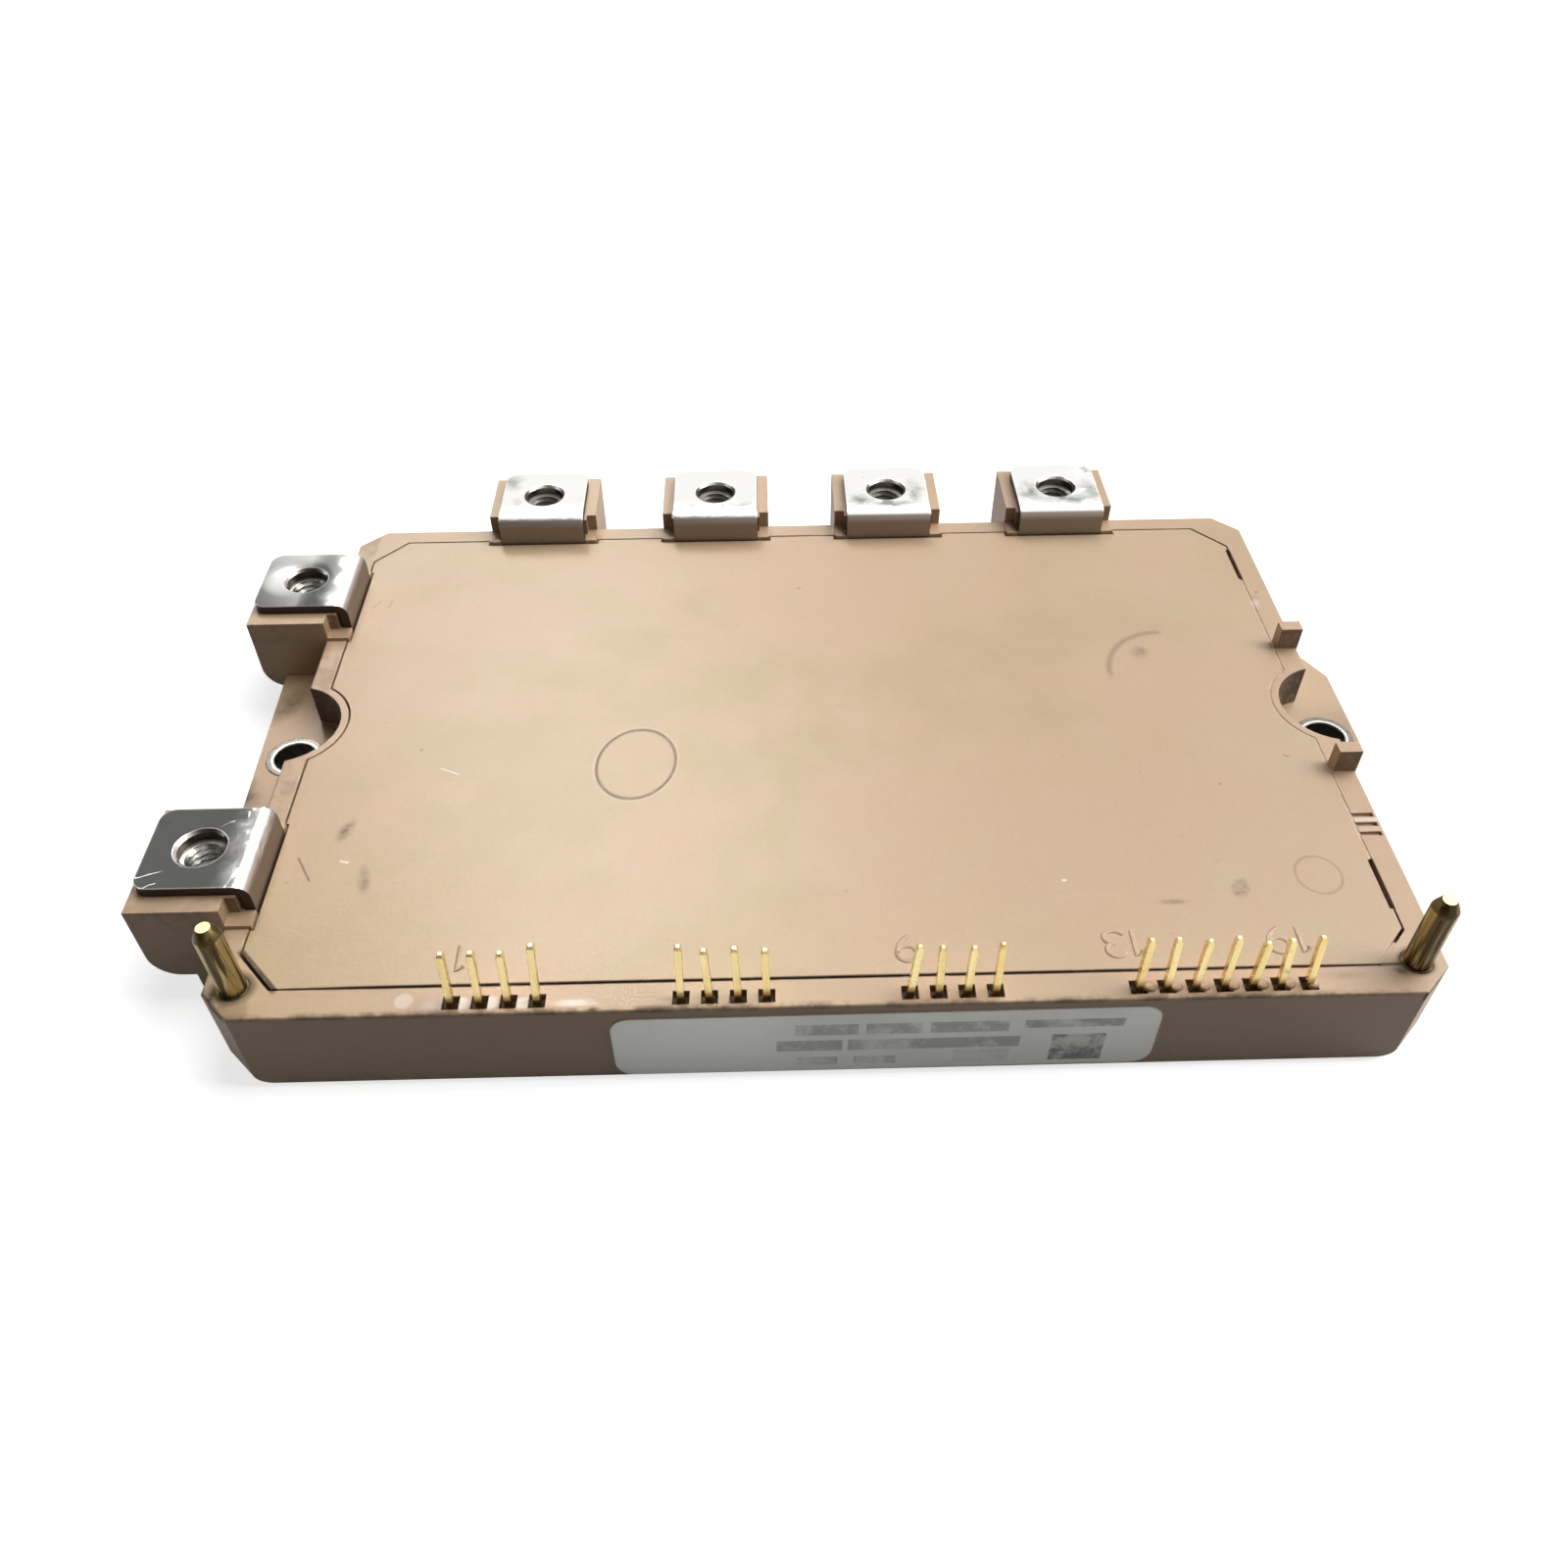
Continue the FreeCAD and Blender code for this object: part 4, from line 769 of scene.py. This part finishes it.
def circle(x, y, z, radius, count, flutes=0, depth=0.0):
    points = []
    for step in range(count):
        angle = 2.0 * pi * step / count
        r = radius - depth * (0.5 - 0.5 * cos(flutes * angle))
        points.append(Vector((x + r * cos(angle), y + r * sin(angle), z)))
    return points


def arc_points(x, y, radius_x, radius_y, start, end, count):
    points = []
    for step in range(count + 1):
        angle = radians(start + (end - start) * step / count)
        points.append((x + radius_x * cos(angle), y + radius_y * sin(angle)))
    return points


# Height, radius and depth of the flutes at each level of a guide pin, from its root in the case
# to its tip.
GUIDE_LEVELS = (
    (5.5, 1.45, 0.0), (10.55, 1.45, 0.0), (10.6, 1.38, 0.0), (10.6, 1.25, 0.0),
    (10.85, 1.25, 0.0), (11.15, 1.25, 0.13), (17.3, 1.25, 0.13), (17.6, 1.25, 0.0),
    (17.8, 1.22, 0.0), (18.82, 0.72, 0.0), (18.9, 0.62, 0.0),
)
GUIDE_FLUTES = 10


# A guide pin with rolled flutes along its shank, a coned end with a small flat tip, and a plain
# root sunk in the case.
def make_guide_pin(name, x):
    work = bmesh.new()
    add_rings(work, [circle(x, GUIDE_Y, z, r, 120, GUIDE_FLUTES, depth)
                     for z, r, depth in GUIDE_LEVELS])
    add_piece(name + "_fluted", work, "guide_brass", replaces=[name])


NUT_HALF_FLATS = 3.5
NUT_CORNER = 4.1
NUT_CORNER_AT_FACES = 3.62
NUT_CHAMFER = 0.3
NUT_COUNTERSINK = 2.2
NUT_POINTS = 48
THREAD_RADIUS = 1.65
THREAD_DEPTH = 0.36
THREAD_PITCH = 0.7
THREAD_ROWS = 36
THREAD_RUN_IN = 0.12


# A hexagon nut with chamfered corners and a cut thread in its bore.
def add_nut(work, x, y, turn):
    def outside(z, corner):
        points = []
        for step in range(NUT_POINTS):
            angle = 2.0 * pi * step / NUT_POINTS
            within = (angle + radians(turn)) % (pi / 3.0) - pi / 6.0
            r = min(NUT_HALF_FLATS / cos(within), corner)
            points.append(Vector((x + r * cos(angle), y + r * sin(angle), z)))
        return points

    def bore(z):
        points = []
        for step in range(NUT_POINTS):
            angle = 2.0 * pi * step / NUT_POINTS
            phase = (z / THREAD_PITCH - angle / (2.0 * pi)) % 1.0
            r = THREAD_RADIUS + THREAD_DEPTH * (1.0 - abs(2.0 * phase - 1.0))
            points.append(Vector((x + r * cos(angle), y + r * sin(angle), z)))
        return points

    rings = [outside(NUT_BOTTOM, NUT_CORNER_AT_FACES),
             outside(NUT_BOTTOM + NUT_CHAMFER, NUT_CORNER),
             outside(NUT_TOP - NUT_CHAMFER, NUT_CORNER),
             outside(NUT_TOP, NUT_CORNER_AT_FACES),
             circle(x, y, NUT_TOP, NUT_COUNTERSINK, NUT_POINTS)]
    threaded = NUT_TOP - NUT_BOTTOM - 2.0 * THREAD_RUN_IN
    for row in range(THREAD_ROWS + 1):
        rings.append(bore(NUT_TOP - THREAD_RUN_IN - threaded * row / THREAD_ROWS))
    rings.append(circle(x, y, NUT_BOTTOM, NUT_COUNTERSINK, NUT_POINTS))
    made = add_rings(work, rings, closed_ends=False)
    for i in range(NUT_POINTS):
        j = (i + 1) % NUT_POINTS
        work.faces.new((made[-1][i], made[-1][j], made[0][j], made[0][i]))


# Two flats of each nut face the cheeks of its tower.
def make_nuts():
    work = bmesh.new()
    for x, y, turn in TERMINALS.values():
        add_nut(work, x, y, 0.0 if turn == TO_LEFT else 30.0)
    add_piece("threaded_nuts", work, "nut_steel", replaces=["terminal_nuts"])


BEAD_LEVELS = ((10.4, 0.6), (10.6, 0.6), (10.75, 0.53), (10.85, 0.36), (10.88, 0.16))


# Low round bosses in the rim beside the pins of the last group.
def make_beads():
    work = bmesh.new()
    for x in (28.5, 30.8, 33.3, 35.9, 38.5, 40.9, 43.0):
        add_rings(work, [circle(x, PIN_Y, z, r, 24) for z, r in BEAD_LEVELS])
    add_piece("rim_beads", work, "case_plastic")


# The path of each digit about its centre, and the section of its stroke as shares of the half
# width with their heights.
DIGITS = {
    "1": [(-0.45, 0.95), (0.15, 1.5), (0.15, -1.5)],
    "3": (arc_points(0.0, 0.75, 0.85, 0.75, 160.0, -90.0, 14)
          + arc_points(0.0, -0.75, 0.95, 0.75, 90.0, -160.0, 14)),
    "9": (arc_points(0.0, 0.6, 0.9, 0.9, 0.0, 360.0, 20)
          + [(0.88, 0.2), (0.7, -0.5), (0.25, -1.1), (-0.3, -1.5)]),
}
STROKE_SECTION = ((-1.0, 10.44), (-0.8, 10.57), (0.0, 10.63), (0.8, 10.57), (1.0, 10.44))
STROKE_HALF_WIDTH = 0.25


# A raised digit with a round back, moulded on the lid so that it reads from the far side.
def add_digit(work, digit, x, y):
    points = [Vector((x - px, y - py, 0.0)) for px, py in DIGITS[digit]]
    rings = []
    for i, point in enumerate(points):
        before = points[max(i - 1, 0)]
        after = points[min(i + 1, len(points) - 1)]
        along = (after - before).normalized()
        side = Vector((-along.y, along.x, 0.0)) * STROKE_HALF_WIDTH
        rings.append([point + side * share + Vector((0, 0, z)) for share, z in STROKE_SECTION])
    add_rings(work, rings)


def make_digits():
    work = bmesh.new()
    for digit, x in (("1", -33.4), ("9", 7.3), ("1", 28.3), ("3", 26.4), ("1", 43.6),
                     ("9", 41.4)):
        add_digit(work, digit, x, PIN_NUMBER_Y)
    add_piece("pin_numbers", work, "lid_plastic")


# Glue that has risen flush in the seam between lid and rim, along the right side and round the
# right screw pocket, and in the front right corner.
def make_seam_glue():
    seam_x = 53.31
    half = 0.125
    path = ([(seam_x, 23.2)] + arc_points(MOUNT_X, 0.0, 7.09, 7.09, 126.5, 233.5, 24)
            + [(seam_x, -23.2)])
    rings = []
    for i, (x, y) in enumerate(path):
        ahead = path[min(i + 1, len(path) - 1)]
        behind = path[max(i - 1, 0)]
        run = sqrt((ahead[0] - behind[0]) ** 2 + (ahead[1] - behind[1]) ** 2)
        nx = -(ahead[1] - behind[1]) / run * half
        ny = (ahead[0] - behind[0]) / run * half
        rings.append([Vector((x - nx, y - ny, GLUE_BOTTOM)), Vector((x - nx, y - ny, GLUE_TOP)),
                      Vector((x, y, GLUE_HOLLOW)), Vector((x + nx, y + ny, GLUE_TOP)),
                      Vector((x + nx, y + ny, GLUE_BOTTOM))])
    work = bmesh.new()
    add_rings(work, rings)
    start, end = Vector((52.0, -33.7, 0.0)), Vector((49.75, -36.1, 0.0))
    side = (end - start).cross(Vector((0, 0, 1))).normalized() * 0.17
    low, high = Vector((0, 0, GLUE_BOTTOM)), Vector((0, 0, GLUE_TOP))
    add_rings(work, [[point - side + low, point - side + high,
                      point + side + high, point + side + low]
                     for point in (start, (start + end) / 2.0, end)])
    add_piece("seam_glue", work, "case_plastic")


# A white paper floor that takes the part's shadow. It throws little light back on the part.
def make_stage():
    mesh = bpy.data.meshes.new("floor")
    work = bmesh.new()
    bmesh.ops.create_grid(work, x_segments=1, y_segments=1, size=3.0)
    work.to_mesh(mesh)
    work.free()
    floor = bpy.data.objects.new("floor", mesh)
    floor.location = (0, 0, cad_box[0][2] - 0.05 * MM)
    bpy.context.scene.collection.objects.link(floor)
    s = Shade("floor_paper")
    path = s.node("ShaderNodeLightPath")
    seen = s.most(path.outputs["Is Camera Ray"], path.outputs["Is Glossy Ray"])
    s.finish(s.mix(seen, (0.07, 0.062, 0.055), (0.86, 0.86, 0.86)), 0.9, Specular_IOR_Level=0.1)
    glow = s.node("ShaderNodeEmission")
    glow.inputs["Color"].default_value = (1, 1, 1, 1)
    lit = s.most(s.times(path.outputs["Is Camera Ray"], 0.74),
                 s.times(path.outputs["Is Glossy Ray"], 0.3))
    s.link(lit, glow.inputs["Strength"])
    both = s.node("ShaderNodeAddShader")
    s.link(s.bsdf.outputs[0], both.inputs[0])
    s.link(glow.outputs[0], both.inputs[1])
    s.link(both.outputs[0], s.out.inputs["Surface"])
    mesh.materials.append(s.material)


# The direction at an azimuth, counted from +Y to +X, and a rise, in degrees.
def direction(azimuth, rise):
    azimuth, rise = radians(azimuth), radians(rise)
    return Vector((sin(azimuth) * cos(rise), cos(azimuth) * cos(rise), sin(rise)))


LAMP_AZIMUTH = -19.0
LAMP_RISE = 50.0
LAMP_OUTER = 16.0
LAMP_INNER = 4.0
LAMP_POWER = 40.0


# The studio around the part: white to the camera and weak as a lamp. In reflections it is dim in
# front and bright behind, with a lamp high behind the left end, a lift towards the right, and a
# dark gap beside the lamp.
def make_world():
    world = bpy.data.worlds.new("studio")
    bpy.context.scene.world = world
    world.use_nodes = True
    t = Tree(world.node_tree)
    out = t.node("ShaderNodeOutputWorld")
    background = t.node("ShaderNodeBackground")
    t.link(background.outputs[0], out.inputs["Surface"])
    where = t.node("ShaderNodeTexCoord").outputs["Generated"]
    x, y, z = t.axes(where)
    azimuth = t.math("ARCTAN2", x, y)
    rise = t.math("ARCSINE", z)
    gap = t.times(t.sector(azimuth, -19.0, -27.0), t.sector(azimuth, -60.0, -48.0),
                  t.sector(rise, 20.0, 27.0), t.sector(rise, 62.0, 50.0))
    nearness = t.node("ShaderNodeVectorMath")
    nearness.operation = "DOT_PRODUCT"
    t.link(where, nearness.inputs[0])
    nearness.inputs[1].default_value = direction(LAMP_AZIMUTH, LAMP_RISE)
    lamp = t.span(nearness.outputs["Value"], cos(radians(LAMP_OUTER)), cos(radians(LAMP_INNER)),
                  0.0, LAMP_POWER)
    lamp = t.times(lamp, t.sector(azimuth, -25.0, -16.0))
    lift = t.sector(azimuth, 14.0, 34.0, 0.0, 0.9)
    mirrored = t.times(t.plus(lamp, t.span(y, -0.35, 0.05, 0.22, 1.0), lift),
                       t.math("SUBTRACT", 1.0, t.times(gap, 0.87)))
    path = t.node("ShaderNodeLightPath")
    level = t.most(t.times(path.outputs["Is Glossy Ray"], mirrored),
                   path.outputs["Is Camera Ray"], path.outputs["Is Transmission Ray"],
                   t.times(path.outputs["Is Diffuse Ray"], 0.04))
    t.link(level, background.inputs["Strength"])
    background.inputs["Color"].default_value = (1, 1, 1, 1)


def add_light(light, toward):
    """Aims a light's -Z along a direction and puts it in the scene."""
    light.rotation_euler = toward.to_track_quat("-Z", "Y").to_euler()
    bpy.context.scene.collection.objects.link(light)


# A broad soft key from the right, high up.
def make_key():
    data = bpy.data.lights.new("key", "SUN")
    data.energy = 1.82
    data.angle = radians(40.0)
    add_light(bpy.data.objects.new("key", data), -direction(58.0, 62.0))


# A small panel high on the right, which lifts that end of the lid.
def make_panel():
    data = bpy.data.lights.new("right_panel", "AREA")
    data.shape = "SQUARE"
    data.size = 0.3
    data.energy = 1.35
    light = bpy.data.objects.new("right_panel", data)
    light.location = (0.38, 0.02, 0.30)
    add_light(light, Vector((0.05, 0.0, 0.0)) - light.location)


make_camera()
paint_nodes()
make_guide_pin("guide_pin_left", -GUIDE_X)
make_guide_pin("guide_pin_right", GUIDE_X)
make_nuts()
make_beads()
make_digits()
make_seam_glue()
make_stage()
make_world()
make_key()
make_panel()
bpy.context.scene.view_settings.view_transform = "Standard"
